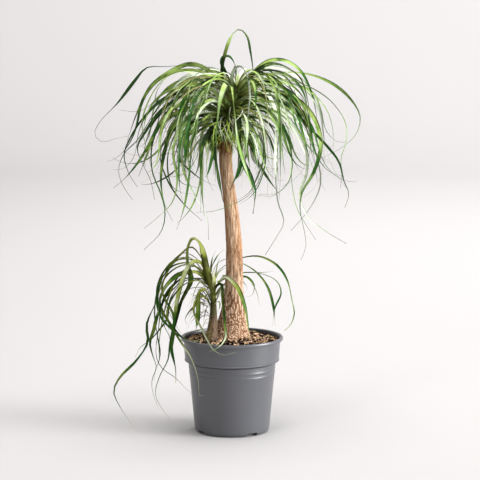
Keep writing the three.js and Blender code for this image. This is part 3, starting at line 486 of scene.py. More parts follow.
def length_property(name, description, millimetres):
    return bpy.props.FloatProperty(
        name=name, description=description, default=millimetres * MM, unit="LENGTH", subtype="DISTANCE")


def colour_property(name, description, colour):
    return bpy.props.FloatVectorProperty(
        name=name, description=description, default=colour, size=3, min=0, max=1, subtype="COLOR")


def count_property(name, description, count, least=0):
    return bpy.props.IntProperty(name=name, description=description, default=count, min=least)


def strength_property(name, description, strength):
    return bpy.props.FloatProperty(name=name, description=description, default=strength, min=0)


class PotSettings(bpy.types.PropertyGroup):
    height: length_property("Height", "From the surface to the top of the lip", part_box("pot")[1][2] / MM)
    lip_radius: length_property("Lip radius", "Outer radius of the rolled lip", 105)
    collar_radius: length_property("Collar radius", "Outer radius of the collar under the lip", 99.5)
    body_radius: length_property("Body radius", "Outer radius of the body under the collar", 90)
    foot_radius: length_property("Foot radius", "Outer radius just above the rounded foot", 77.5)
    wall: length_property("Wall", "Thickness of the moulded wall", 1.6)
    colour: colour_property("Colour", "Moulded plastic", (0.082, 0.085, 0.095))


class BedSettings(bpy.types.PropertyGroup):
    rim: length_property("Rim level", "Height of the bed at the pot's wall", 186)
    mound: length_property("Mound level", "Height of the bed around the foot of the trunk", 196)
    chips: count_property("Chips", "Loose chips on top", 2000)
    fibres: count_property("Fibres", "Dry fibres on the chips", 30)
    chip_length: length_property("Chip length", "Length of a middling chip", 5.4)
    pale: colour_property("Pale chip", "Husk and pale bark", (0.74, 0.49, 0.31))
    dark: colour_property("Dark chip", "Wet and shaded bark", (0.03, 0.011, 0.006))


class TrunkSettings(bpy.types.PropertyGroup):
    sides: count_property("Sides", "Faces around the trunk", 160, least=12)
    scales: count_property("Dry scales", "Dry leaf bases under the crown", 26)
    furrow: length_property("Furrow depth", "Depth of the long furrows", 1.1)
    crack: length_property("Crack depth", "Depth of the cracks between the foot's plates", 1.4)
    pale: colour_property("Pale cork", "Raised cork", (0.66, 0.465, 0.31))
    plates: colour_property("Plates", "Cream plates on the foot", (0.57, 0.41, 0.285))
    dark: colour_property("Furrows", "Cork in the furrows", (0.08, 0.034, 0.015))
    dry: colour_property("Dry leaf bases", "Scales under the crown", (0.17, 0.056, 0.026))


class CrownSettings(bpy.types.PropertyGroup):
    framed_leaves: count_property("Main leaves", "Leaves that the frame has", 76)
    added_leaves: count_property("Added leaves", "Finer leaves between them", 120)
    wisps: count_property("Wisps", "Thread-like curled leaves", 26)
    dark: colour_property("Dark green", "Old leaves", (0.007, 0.02, 0.001))
    olive: colour_property("Olive green", "Middling leaves", (0.31, 0.44, 0.08))
    pale: colour_property("Sage green", "Young leaves", (0.66, 0.73, 0.57))
    deep: colour_property("Deep green", "Hanging parts", (0.03, 0.17, 0.016))


class ShootSettings(bpy.types.PropertyGroup):
    hairs: count_property("Dry hairs", "Threads on the stem", 36)
    dark: colour_property("Dark green", "Old leaves", (0.007, 0.02, 0.001))
    olive: colour_property("Olive green", "Middling leaves", (0.19, 0.215, 0.022))
    pale: colour_property("Sage green", "Young leaves", (0.42, 0.46, 0.3))
    deep: colour_property("Deep green", "Hanging parts", (0.02, 0.13, 0.01))
    sheath: colour_property("Sheath", "Purple-brown sheath at the foot", (0.19, 0.12, 0.07))


class StageSettings(bpy.types.PropertyGroup):
    floor: colour_property("Floor", "Pale floor and backdrop", (0.396, 0.385, 0.383))
    key: strength_property("Key light", "Power of the light from the right", 600)
    wall: strength_property("Wall light", "Power of the light on the backdrop", 385)
    top: strength_property("Top light", "Power of the light overhead", 200)
    front: strength_property("Front light", "Power of the light from the left front", 54)
    fill: strength_property("Fill", "Strength of the even light", 0.375)


# Helpers

def draws_from(seed):
    """Repeatable draws between a low and a high value."""
    state = seed

    def draw(low, high):
        nonlocal state
        state = (state * DRAW_STEP) % DRAW_SPAN
        return low + (high - low) * (state / DRAW_SPAN)

    return draw


def mix(start, end, share):
    return start + (end - start) * share


def smooth(value):
    value = np.clip(value, 0, 1)
    return value * value * (3 - 2 * value)


def deselect():
    if bpy.context.object and bpy.context.object.mode != "OBJECT":
        bpy.ops.object.mode_set(mode="OBJECT")
    bpy.ops.object.select_all(action="DESELECT")


def pick(piece):
    deselect()
    piece.select_set(True)
    bpy.context.view_layer.objects.active = piece


def edit_all():
    """Goes into edit mode with the whole mesh selected."""
    bpy.ops.object.mode_set(mode="EDIT")
    bpy.ops.mesh.select_all(action="SELECT")


def name_piece(name):
    piece = bpy.context.object
    piece.name = name
    piece.data.name = name
    return piece


def apply_modifier(piece, kind, **settings):
    pick(piece)
    modifier = piece.modifiers.new(kind.title(), kind)
    for key, value in settings.items():
        setattr(modifier, key, value)
    bpy.ops.object.modifier_apply(modifier=modifier.name)


def join_pieces(pieces, name):
    deselect()
    for piece in pieces:
        piece.select_set(True)
    bpy.context.view_layer.objects.active = pieces[0]
    bpy.ops.object.join()
    return name_piece(name)


def set_down(piece):
    """Puts the object's place into its mesh, as a frame node's is."""
    pick(piece)
    bpy.ops.object.transform_apply(location=True, rotation=True, scale=True)


def shade(piece, degrees):
    pick(piece)
    bpy.ops.object.shade_smooth_by_angle(angle=math.radians(degrees))


def finish_piece(piece, node):
    """Each piece rides on the one body and stands for one CAD node."""
    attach(piece, "root")
    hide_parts(node)


def copied(piece):
    """A copy with a mesh of its own."""
    made = piece.copy()
    made.data = piece.data.copy()
    bpy.context.collection.objects.link(made)
    return made


def mark(piece, name, values, domain="POINT"):
    """Keeps a value for each point or face of a piece, which its material reads."""
    marks = piece.data.attributes.new(name, "FLOAT", domain)
    marks.data.foreach_set("value", np.full(len(marks.data), values, dtype=np.float32))


def points_of(piece):
    points = np.empty(len(piece.data.vertices) * 3)
    piece.data.vertices.foreach_get("co", points)
    return points.reshape(-1, 3)


def put_points(piece, points):
    piece.data.vertices.foreach_set("co", np.asarray(points, dtype=np.float32).ravel())
    piece.data.update()


def section_at(stations, z):
    """Middle and radius of a round stem at a height in millimetres."""
    heights = [station[0] for station in stations]
    index = int(np.clip(np.searchsorted(heights, z, side="right") - 1, 0, len(stations) - 2))
    start, end = stations[index], stations[index + 1]
    before, after = stations[max(index - 1, 0)], stations[min(index + 2, len(stations) - 1)]
    span = end[0] - start[0]
    share = min(1, max(0, (z - start[0]) / span))
    values = []
    for key in (1, 2, 3):
        slope_in = (end[key] - before[key]) / (end[0] - before[0]) * span
        slope_out = (after[key] - start[key]) / (after[0] - start[0]) * span
        values.append(
            (2 * share**3 - 3 * share**2 + 1) * start[key] + (share**3 - 2 * share**2 + share) * slope_in
            + (3 * share**2 - 2 * share**3) * end[key] + (share**3 - share**2) * slope_out)
    return values


# Materials

class Look:
    """A material under construction, with one Principled shader."""

    def __init__(self, name):
        self.material = bpy.data.materials.new(name)
        self.material.use_nodes = True
        self.nodes = self.material.node_tree.nodes
        self.links = self.material.node_tree.links
        self.shader = self.nodes["Principled BSDF"]

    def node(self, kind, settings=None, **inputs):
        made = self.nodes.new(kind)
        for key, value in (settings or {}).items():
            setattr(made, key, value)
        for key, value in inputs.items():
            self.feed(made.inputs[key.replace("_", " ")], value)
        return made

    def feed(self, socket, value):
        if isinstance(value, bpy.types.NodeSocket):
            self.links.new(value, socket)
        else:
            socket.default_value = value

    def place(self, scale=(1, 1, 1)):
        """Object coordinates, stretched."""
        coordinates = self.node("ShaderNodeTexCoord")
        return self.node("ShaderNodeMapping", Vector=coordinates.outputs["Object"], Scale=scale).outputs[0]

    def coordinate(self, source, axis):
        """One axis of the piece's own coordinates or of its UV map."""
        coordinates = self.node("ShaderNodeTexCoord")
        return self.node("ShaderNodeSeparateXYZ", Vector=coordinates.outputs[source]).outputs[axis]

    def value(self, name):
        return self.node("ShaderNodeAttribute", {"attribute_name": name}).outputs["Fac"]

    def speckle(self, scale, detail, place=None, roughness=0.5, distortion=0.0):
        made = self.node(
            "ShaderNodeTexNoise", Scale=scale, Detail=detail, Roughness=roughness, Distortion=distortion)
        self.feed(made.inputs["Vector"], place or self.place())
        return made.outputs["Fac"]

    def span(self, value, low, high, bottom=0.0, top=1.0):
        """A value that goes softly from bottom to top as another goes from low to high."""
        made = self.node("ShaderNodeMapRange", {"interpolation_type": "SMOOTHSTEP"}, Value=value)
        for socket, number in zip(("From Min", "From Max", "To Min", "To Max"), (low, high, bottom, top)):
            made.inputs[socket].default_value = number
        return made.outputs["Result"]

    def blend(self, share, first, second):
        made = self.node("ShaderNodeMix", {"data_type": "RGBA"})
        self.feed(made.inputs[0], share)
        for socket, colour in ((made.inputs[6], first), (made.inputs[7], second)):
            self.feed(socket, colour if isinstance(colour, bpy.types.NodeSocket) else (*colour, 1))
        return made.outputs[2]

    def maths(self, operation, first, second=0.0):
        made = self.node("ShaderNodeMath", {"operation": operation})
        self.feed(made.inputs[0], first)
        self.feed(made.inputs[1], second)
        return made.outputs[0]

    def bump(self, height, strength, distance):
        made = self.node("ShaderNodeBump", Height=height, Strength=strength, Distance=distance)
        self.links.new(made.outputs[0], self.shader.inputs["Normal"])

    def surface(self, colour, roughness, specular):
        values = {"Base Color": colour, "Roughness": roughness, "Specular IOR Level": specular}
        for name, value in values.items():
            self.feed(self.shader.inputs[name], value)

    def paint(self, piece):
        piece.data.materials.clear()
        piece.data.materials.append(self.material)


def toned(colour, share):
    return tuple(min(1, channel * share) for channel in colour)


def pot_plastic(settings):
    look = Look("pot plastic")
    stained = look.value("stained")
    clouded = look.blend(look.speckle(5, 2), toned(settings.colour, 0.93), settings.colour)
    # The marked inner wall above the bed is painted near black and made rougher: painted shade inside the
    # pot.
    look.surface(look.blend(stained, clouded, INSIDE_SHADE), look.span(stained, 0, 1, 0.36, 0.6), 0.6)
    look.bump(look.speckle(900, 2), 0.12, 0.0004)
    return look


def chip_bark(settings):
    look = Look("bark chips")
    tone = look.value("tone")
    fibres = look.speckle(420, 4, look.place((1, 1, 3)))
    mixed = look.blend(tone, settings.dark, settings.pale)
    # The bed, of tone nought, and the darkest chips are painted near black: painted shade in the gaps between
    # the chips.
    gap_shaded = look.blend(look.span(tone, 0.02, 0.12), GAP_SHADE, mixed)
    streaked = look.blend(look.span(fibres, 0.3, 0.6, 0.35, 1), toned(settings.dark, 0.45), gap_shaded)
    straw = look.blend(look.span(tone, 1.1, 1.3), streaked, FIBRE_STRAW)
    look.surface(straw, 0.85, 0.1)
    look.bump(fibres, 0.6, 0.001)
    return look


def trunk_bark(settings):
    look = Look("trunk bark")
    pale, dark, dry = settings.pale, settings.dark, settings.dry
    height = look.coordinate("Object", "Z")
    fibre = look.speckle(300, 6, look.place((1, 1, 0.07)), 0.7)
    blotch = look.speckle(38, 4, look.place((1, 1, 0.3)))
    warm = (pale[0] * 0.7, pale[1] * 0.58, pale[2] * 0.48)
    blotched = look.blend(look.span(blotch, 0.35, 0.65), warm, pale)
    ridges = look.speckle(200, 4, look.place((1, 1, 0.16)), 0.6, 0.5)
    low = look.span(height, 0.28, 0.42, 0.95, 0.35)
    cut_in = look.maths("MULTIPLY", look.span(ridges, 0.42, 0.54, 1, 0), low)
    ridged = look.blend(cut_in, blotched, RIDGE_CUT)
    # The marked left side is painted darker brown: painted shade.
    base = look.blend(look.value("weathered"), ridged, LEFT_SIDE_SHADE)
    cobbled = look.blend(look.span(height, 0.4, 0.26), base, settings.plates)
    fibred = look.blend(look.span(fibre, 0.36, 0.54, 0.85, 0), cobbled, toned(dark, 2.5))
    cut = look.maths("MULTIPLY", look.value("furrow"), look.span(height, 0.26, 0.44, 1, 0.35))
    gap = look.blend(look.span(height, 0.32, 0.24), dark, toned(dark, 1.7))
    furrowed = look.blend(look.span(cut, 0.1, 0.75, 0, 0.95), fibred, gap)
    worn = look.maths("ADD", height, look.maths("MULTIPLY", look.speckle(70, 3), 0.03))
    reddened = look.blend(look.span(worn, 0.578, 0.612, 0, 0.85), furrowed, dry)
    straw = look.blend(look.span(look.value("tone"), 0.3, 1), dry, SCALE_STRAW)
    look.surface(look.blend(look.value("scale"), reddened, straw), 0.82, 0.05)
    look.bump(fibre, 0.8, 0.0012)
    return look


def sheath_skin(settings):
    look = Look("shoot sheath")
    sheath = settings.sheath
    streak = look.speckle(300, 4, look.place((1, 1, 0.1)))
    cracks = look.speckle(260, 5, look.place((1, 1, 0.5)), 0.7)
    streaked = look.blend(look.span(streak, 0.35, 0.65), toned(sheath, 0.35), sheath)
    left = look.span(look.coordinate("Object", "X"), -0.037, -0.049, 0, 0.6)
    green = look.blend(left, streaked, SHEATH_GREEN)
    cracked = look.blend(look.span(cracks, 0.42, 0.52, 0.8, 0), green, toned(sheath, 0.2))
    look.surface(cracked, 0.6, 0.15)
    look.bump(cracks, 0.7, 0.0012)
    return look


def leaf_green(name, settings, foot, tip, tip_start, left_shade):
    """Green by each leaf's tone, with painted shade on the left and painted light on the right, deeper where
    it hangs, with veins painted lighter as a sheen, and painted shade along the edges and on the undersides.
    """
    look = Look(name)
    dark, pale = settings.dark, settings.pale
    along, across = look.coordinate("UV", "X"), look.coordinate("UV", "Y")
    side = look.coordinate("Object", "X")
    tone = look.value("tone")
    # Leaves on the left are painted darker and those on the right lighter: painted shade and painted light by
    # side.
    side_shaded_tone = look.maths("ADD", tone, look.span(side, -0.24, 0.06, left_shade, 0.1))
    cloudy = look.maths("ADD", side_shaded_tone, look.span(look.speckle(20, 3), 0.3, 0.7, -0.3, 0.3))
    shaded = look.blend(look.span(cloudy, -0.12, 0.38), dark, settings.olive)
    green = look.blend(look.span(cloudy, 0.38, 0.95), shaded, pale)
    drooped = look.span(along, 0.25, 0.7, 0, 0.5)
    hanging = look.maths("MULTIPLY", drooped, look.span(cloudy, 0.4, 1, 1, 0.2))
    # On the left, where the painted shade darkens the leaves, less of the deep green is laid over them.
    sheltered = look.span(side, -0.24, -0.02, 1 + 1.1 * left_shade, 1)
    hung = look.blend(look.maths("MULTIPLY", hanging, sheltered), green, settings.deep)
    veins = look.maths("SINE", look.maths("MULTIPLY", across, 34))
    # Pale lines along the leaf, stronger on paler leaves: the leaf's veins, painted lighter as a sheen.
    vein_sheen = look.maths("MULTIPLY", look.span(veins, -1, 1, 0, 0.36), look.span(cloudy, 0, 0.8, 0.06, 1))
    veined = look.blend(vein_sheen, hung, toned(pale, 1.14))
    # The margins are painted darker: painted shade along the leaf's edges.
    edge = look.maths("ABSOLUTE", look.maths("SUBTRACT", across, 0.42))
    edged = look.blend(look.span(edge, 0.28, 0.5, 0, 0.7), veined, toned(dark, 0.8))
    # Undersides are painted darker: painted shade under the leaves.
    below = look.blend(look.maths("MULTIPLY", look.value("under"), 0.45), edged, toned(dark, 0.6))
    based = look.blend(look.span(along, 0.22, 0.05, 0, 0.75), below, foot)
    fresh = look.blend(look.span(tone, 1.15, 1.3), based, FRESH_GREEN)
    tipped = look.blend(look.span(along, tip_start, 0.99), fresh, tip)
    dried = look.blend(look.value("dry"), tipped, DRY_LEAF)
    look.surface(dried, look.span(look.speckle(60, 3), 0.3, 0.7, 0.24, 0.4), 0.05)
    look.bump(veins, 0.25, 0.0003)
    return look


# Leaves

def smooth_course(points, count):
    """Evenly spaced points on the smooth curve through a leaf's course, in millimetres."""
    spots = np.array(points, dtype=float)
    first = 2 * spots[0] - spots[1]
    last = 2 * spots[-1] - spots[-2]
    spots = np.vstack([first, spots, last])
    dense = []
    for p0, p1, p2, p3 in zip(spots, spots[1:], spots[2:], spots[3:]):
        t0 = 0
        t1 = t0 + math.sqrt(np.linalg.norm(p1 - p0))
        t2 = t1 + math.sqrt(np.linalg.norm(p2 - p1))
        t3 = t2 + math.sqrt(np.linalg.norm(p3 - p2))
        for t in np.linspace(t1, t2, 10, endpoint=False):
            a1 = ((t1 - t) * p0 + (t - t0) * p1) / (t1 - t0)
            a2 = ((t2 - t) * p1 + (t - t1) * p2) / (t2 - t1)
            a3 = ((t3 - t) * p2 + (t - t2) * p3) / (t3 - t2)
            b1 = ((t2 - t) * a1 + (t - t0) * a2) / (t2 - t0)
            b2 = ((t3 - t) * a2 + (t - t1) * a3) / (t3 - t1)
            dense.append(((t2 - t) * b1 + (t - t1) * b2) / (t2 - t1))
    dense = np.vstack([dense, spots[-2]])
    gone = np.concatenate([[0], np.cumsum(np.linalg.norm(np.diff(dense, axis=0), axis=1))])
    places = np.linspace(0, gone[-1], count + 1)
    return np.stack([np.interp(places, gone, dense[:, axis]) for axis in range(3)], axis=1)


def model_blade(rows):
    """One straight leaf, 1 long and 1 wide: a thin channel with sharp margins and a keel below."""
    deselect()
    bpy.ops.mesh.primitive_cylinder_add(
        vertices=BLADE_CORNERS, radius=0.5, depth=1, location=(0.5, 0, 0), rotation=(0, math.pi / 2, 0))
    blade = name_piece("blade")
    set_down(blade)
    bpy.ops.object.mode_set(mode="EDIT")
    bpy.ops.mesh.select_mode(type="EDGE")
    bpy.ops.mesh.select_all(action="DESELECT")
    bpy.ops.object.mode_set(mode="OBJECT")
    for edge in blade.data.edges:
        ends = [blade.data.vertices[index].co.x for index in edge.vertices]
        edge.select = abs(ends[0] - ends[1]) > 0.5
    bpy.ops.object.mode_set(mode="EDIT")
    bpy.ops.mesh.subdivide(number_cuts=rows - 1)
    bpy.ops.mesh.select_all(action="SELECT")
    bpy.ops.mesh.normals_make_consistent(inside=False)
    bpy.ops.object.mode_set(mode="OBJECT")
    points = points_of(blade)
    # Faces that point down are marked, and the leaf material paints them darker: painted shade on the
    # undersides.
    mark(blade, "under", [face.normal.z < 0 for face in blade.data.polygons], "FACE")
    for loop in blade.data.loops:
        x, y, _ = points[loop.vertex_index]
        blade.data.uv_layers.active.data[loop.index].uv = (x, y + 0.5)
    channel, keel = -0.15, -0.21
    points[:, 2] = np.where(points[:, 2] > 0.1, channel, np.where(points[:, 2] < -0.1, keel, 0))
    put_points(blade, points)
    return blade


def leaf_outline(share, narrows, flare):
    """Width along a leaf: a clasping base, an even ribbon and a thread-like tip."""
    clasp, thread = 0.12, 0.85
    base = 1 + flare * (1 - smooth(share / clasp))
    narrowed = 1 - 0.8 * smooth((share - narrows) / max(0.12, 0.95 - narrows))
    return base * narrowed * (1 - 0.5 * smooth((share - thread) / (1 - thread)))


def lay_blade(blade, course, width, twist, tone, narrows, flare=0.8, dry=0, swell=None, turns=None):
    """Copies the straight blade and lays it along a course, its upper side up.

    A leaf to the side also turns its face to the front, unless turns are given: these are how far
    its face is turned from the front along it. A swell gives its broadest place, reach and
    slimmest share.
    """
    leaf = copied(blade)
    rows = len(leaf.data.vertices) // BLADE_CORNERS - 1
    spots = smooth_course(course, rows)
    heads = np.gradient(spots, axis=0)
    heads /= np.linalg.norm(heads, axis=1, keepdims=True)
    upper = np.array([0.0, 0.0, 1.0])
    facing = np.empty_like(spots)
    across_x, across_y = spots[-1, 0] - spots[0, 0], spots[-1, 1] - spots[0, 1]
    lean = across_x / (math.hypot(across_x, across_y) + 1)
    tones = np.atleast_1d(tone)
    for row, head in enumerate(heads):
        upper = upper - head * upper.dot(head)
        upper /= np.linalg.norm(upper)
        along = row / rows
        if turns:
            degrees = np.interp(along, np.linspace(0, 1, len(turns)), turns)
            upper = np.array([0.0, -1.0, 0.0]) - head * -head[1]
            upper /= np.linalg.norm(upper)
        else:
            sway = 34 * math.sin(8 * along + 6 * tones[0])
            to_front = 60 * lean * min(1, 4 * along)
            degrees = twist * along + sway + to_front
        turn = math.radians(degrees)
        facing[row] = upper * math.cos(turn) + np.cross(head, upper) * math.sin(turn)
    across = np.cross(facing, heads)
    points = points_of(blade)
    row = np.rint(points[:, 0] * rows).astype(int)
    share = leaf_outline(row / rows, narrows, flare)[:, None]
    if swell:
        middle, reach, slim = swell
        share *= mix(slim, 1, np.exp(-(((row / rows - middle) / reach) ** 2)))[:, None]
    side = across[row] * points[:, 1:2] * share * width
    depth = facing[row] * points[:, 2:3] * (0.3 + 0.7 * share) * width
    put_points(leaf, (spots[row] + side + depth) * MM)
    shown = np.interp(row / rows, np.linspace(0, 1, len(tones)), tones)
    mark(leaf, "tone", shown)
    mark(leaf, "dry", dry)
    return leaf


def narrows_at(name, width):
    """Share of a leaf's length at which it starts to narrow: sooner on a slim leaf."""
    return NARROWS.get(name, 0.04 + 0.044 * width)


def parted(heading):
    """Opens the leaves to both sides of the trunk's front."""
    gap, reach = 0.42, 1.1
    off = math.atan2(math.sin(heading - FRONT), math.cos(heading - FRONT))
    if abs(off) > reach:
        return heading
    return FRONT + math.copysign(mix(gap, reach, abs(off) / reach), off)


def clear_of_trunk(point):
    """Moves a point of a course out of the trunk, where it is below the crown's foot."""
    x, y, z = point
    if z > TRUNK_TOP:
        return [x, y, z]
    middle_x, middle_y, radius = section_at(TRUNK_STATIONS, z)
    away = math.hypot(x - middle_x, y - middle_y)
    push = max(1, (radius + LEAF_GAP) / max(away, 0.1))
    return [middle_x + (x - middle_x) * push, middle_y + (y - middle_y) * push, z]


def fountain_course(index, count, draw, size, curled):
    """Up and out of the core, over in an arc, then hanging with a curled tip."""
    age = (index + 0.5) / count
    z = mix(609, 706, age)
    core_x, core_y, _ = section_at(CROWN_STATIONS, z)
    rise = math.radians(mix(28, 70, age) + draw(-8, 8))
    radius = (44 + 60 * math.sin(0.94 * math.pi * age**1.2)) * draw(0.82, 1.12)
    hang = math.radians(-draw(mix(48, 76, age), 88))
    arc = radius * (rise - hang)
    tail = mix(30, 175, draw(0, 1)**1.3) * size**2
    curl = math.radians(draw(-75, 95)) * curled
    swing = draw(-0.9, 0.9) * curled
    heading = parted(index * GOLDEN_ANGLE + draw(-0.2, 0.2))
    point = [core_x, core_y, z]
    steps = 22
    stride = (arc + tail) / steps
    course = [list(point)]
    for step in range(steps):
        gone = (step + 0.5) * stride
        past = max(0, gone - arc) / tail
        pitch = mix(rise, hang, min(1, gone / arc)) + curl * past**1.6
        heading += swing * 2 * (step + 0.5) / steps**2
        point[0] += stride * math.cos(pitch) * math.cos(heading)
        point[1] += stride * math.cos(pitch) * math.sin(heading)
        point[2] += stride * math.sin(pitch)
        course.append(clear_of_trunk(point))
    return kept_within(course)


def kept_within(course):
    """Draws a course in where it would reach too far to the front or the back."""
    course = np.array(course)
    nearest, farthest = course[:, 1].min(), course[:, 1].max()
    if nearest < CROWN_FRONT:
        course[:, 1] *= CROWN_FRONT / nearest
    elif farthest > CROWN_BACK:
        course[:, 1] *= CROWN_BACK / farthest
    return course


def small_course(stations, z, heading, steps, reach, rise, droop, fall, curl=0, bow=1, start=0.5):
    """A short leaf's course out of a stem: out by its reach, up by its rise and down by its droop."""
    x, y, radius = section_at(stations, z)
    course = []
    for share in np.linspace(0, 1, steps):
        out = start * radius + reach * share**bow
        around = heading + curl * share**2
        up = rise * share - droop * share**fall
        course.append([x + out * math.cos(around), y + out * math.sin(around), z + up])
    return course


def tuft_course(draw, heading):
    """A short leaf low on the core, out and down."""
    z = draw(603, 624)
    return small_course(CROWN_STATIONS, z, heading, 5, draw(14, 44), draw(8, 30), draw(8, 46), 2)


def thicket_course(draw, heading):
    """A fine curled leaf around the lower core, arching out and down."""
    z = draw(606, 672)
    reach, rise, droop, curl = draw(30, 90), draw(6, 34), draw(30, 95), draw(-0.9, 0.9)
    return small_course(CROWN_STATIONS, z, heading, 6, reach, rise, droop, 2.4, curl)


def inner_course(draw, heading, share):
    """A young leaf that stands up out of the core and leans outwards."""
    reach, rise = draw(22, 54), draw(36, 60) * mix(1, 0.4, share)
    return small_course(
        CROWN_STATIONS, mix(620, 700, share), heading, 5, reach, rise, 0.2 * rise, 3, bow=1.6)


def hair_course(draw):
    """A dry thread on the shoot's stem, out to the left in a small arc."""
    z = draw(212, 318)
    stations = SHOOT_STEM_STATIONS if z < SHOOT_CORE_STATIONS[0][0] else SHOOT_CORE_STATIONS
    heading = math.pi + draw(-1, 1.1)
    return small_course(stations, z, heading, 5, draw(18, 66), draw(4, 30), draw(4, 60), 3, start=0.7)


def leaves_along(blade, courses, tones, draw, broad, turned, flare):
    """The leaves that stand out, each along its own course."""
    leaves = []
    for name, (width, twist, course) in courses.items():
        tone = tones.get(name, draw(0, 1))
        leaves.append(lay_blade(
            blade, course, width * broad, twist * turned, tone, narrows_at(name, width), flare, 0,
            SWELLS.get(name), TURNS.get(name)))
    return leaves


def fountain_leaves(blade, count, draw, size, curled, widths, narrowest, slimmest, right, shift, darkest):
    """One rank of the fountain's leaves, drawn by rule.

    Size is the share of the full reach, narrowest where along it a leaf may first narrow, slimmest
    its least share of width, and right the share of width of the leaves that fall to the right.
    """
    leaves = []
    for index in range(count):
        course = fountain_course(index, count, draw, size, curled)
        width, twist, narrows = draw(*widths), draw(-140, 140), draw(narrowest, 0.85)
        swell = (draw(0.3, 0.75), draw(0.2, 0.5), slimmest)
        tone = 1.4 * ((index * 0.618 + shift) % 1) + darkest
        width *= right if course[-1][0] > 50 else 1
        leaves.append(lay_blade(blade, course, width, twist, tone, narrows, 0.6, 0, swell))
    return leaves


def short_leaves(draw):
    """Young leaves in the middle of the crown, and a thicket of fine yellow-green ones under it."""
    inner, tuft, thicket = 34, 70, 110
    blade = model_blade(SHORT_ROWS)
    leaves = []
    for index in range(inner):
        course = inner_course(draw, index * GOLDEN_ANGLE, index / inner)
        leaves.append(lay_blade(blade, course, draw(7, 11), draw(-50, 50), draw(-0.1, 0.7), 0.3, 0.2))
    for index in range(tuft):
        course = tuft_course(draw, index * GOLDEN_ANGLE)
        width, twist, tone = draw(3, 6), draw(-60, 60), draw(1.25, 1.5)
        leaves.append(lay_blade(blade, course, width, twist, tone, 0.2, 0.5, draw(0, 0.3)))
    for index in range(thicket):
        course = thicket_course(draw, index * GOLDEN_ANGLE)
        width, twist, tone = draw(1.8, 3.8), draw(-90, 90), draw(0.95, 1.6)
        leaves.append(lay_blade(blade, course, width, twist, tone, 0.3, 0.4, draw(0, 0.3)))
    bpy.data.objects.remove(blade)
    return leaves


# Stems and shells

def stem_body(name, stations, sides, levels):
    """A round stem drawn up from its lowest section, ring by ring."""
    z, x, y, radius = stations[0]
    deselect()
    bpy.ops.mesh.primitive_circle_add(
        vertices=sides, radius=radius * MM, fill_type="NGON", location=(x * MM, y * MM, z * MM))
    stem = name_piece(name)
    set_down(stem)
    edit_all()
    bpy.ops.mesh.flip_normals()
    last = stations[0]
    for z in levels:
        x, y, radius = section_at(stations, z)
        bpy.ops.mesh.extrude_region_move(
            TRANSFORM_OT_translate={"value": ((x - last[1]) * MM, (y - last[2]) * MM, (z - last[0]) * MM)})
        grown = radius / last[3]
        bpy.ops.transform.resize(value=(grown, grown, 1), center_override=(x * MM, y * MM, z * MM))
        last = (z, x, y, radius)
    bpy.ops.object.mode_set(mode="OBJECT")
    return stem


def turned_body(name, outline, sides):
    """A closed shell, spun from the outline that its radii and heights draw."""
    mesh = bpy.data.meshes.new(name)
    spots = [(radius, 0, height) for radius, height in outline]
    mesh.from_pydata(spots, [(index, index + 1) for index in range(len(spots) - 1)], [])
    shell = bpy.data.objects.new(name, mesh)
    bpy.context.collection.objects.link(shell)
    pick(shell)
    edit_all()
    bpy.ops.mesh.spin(steps=sides, angle=2 * math.pi, center=(0, 0, 0), axis=(0, 0, 1))
    bpy.ops.mesh.select_all(action="SELECT")
    bpy.ops.mesh.remove_doubles(threshold=1e-6)
    bpy.ops.mesh.normals_make_consistent(inside=False)
    bpy.ops.object.mode_set(mode="OBJECT")
    return shell


def leaf_core(stations, levels, dry):
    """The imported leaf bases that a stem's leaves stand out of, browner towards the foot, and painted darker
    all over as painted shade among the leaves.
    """
    core = stem_body("core", stations, 24, levels)
    points = points_of(core) / MM
    low = 1 - smooth((points[:, 2] - stations[0][0]) / 45)
    mark(core, "tone", 0.1 - low)
    mark(core, "dry", dry + 0.1 * low)
    # The whole core counts as underside, so it is painted darker: painted shade inside the crown and the
    # shoot.
    mark(core, "under", 1, "FACE")
    for corner in core.data.loops:
        x, y, z = points[corner.vertex_index]
        middle_x, middle_y, _ = section_at(stations, z)
        around = abs(math.atan2(y - middle_y, x - middle_x)) / math.pi
        core.data.uv_layers.active.data[corner.index].uv = (0.25, mix(0.2, 0.64, around))
    return core


# Pieces

def pot_outline(sizes):
    """The pot's section, from the middle of its underside over the lip and down inside."""
    top, wall = sizes.height, sizes.wall
    foot, body, collar, lip = sizes.foot_radius, sizes.body_radius, sizes.collar_radius, sizes.lip_radius
    rings = []
    for ring in RING_HEIGHTS:
        for height, swell in ((ring - RING_HALF, 0), (ring, RING_SWELL), (ring + RING_HALF, 0)):
            share = (height - FOOT_TOP) / (STEP_FOOT - FOOT_TOP)
            rings.append((mix(foot, body, share) + swell, height))
    return [
        # Flat base and rounded foot
        (0, 0), (BASE_RADIUS, 0), (0.0718, 0.0007), (0.0745, 0.0025), (0.0765, 0.0055), (foot, FOOT_TOP),
        *rings,
        # Step under the collar
        (body, STEP_FOOT), (body + 0.0062, 0.1478), (body + 0.0078, 0.1486), (body + 0.0078, 0.1494),
        (body + STEP_OUT, 0.1506), (collar, top - LIP_HIGH),
        # Rolled lip
        (lip - 0.0008, top - 0.0066), (lip, top - 0.005), (lip, top - 0.0015), (lip - 0.0005, top - 0.0004),
        (lip - 0.0014, top), (lip - 0.0045, top), (lip - 0.006, top - 0.0015),
        # Inner wall and floor
        (collar - wall, top - 0.006), (body + STEP_OUT - wall, 0.149 + wall), (body - wall, STEP_FOOT + wall),
        (foot - wall, FOOT_TOP), (BASE_RADIUS, POT_FLOOR), (0, POT_FLOOR),
    ]


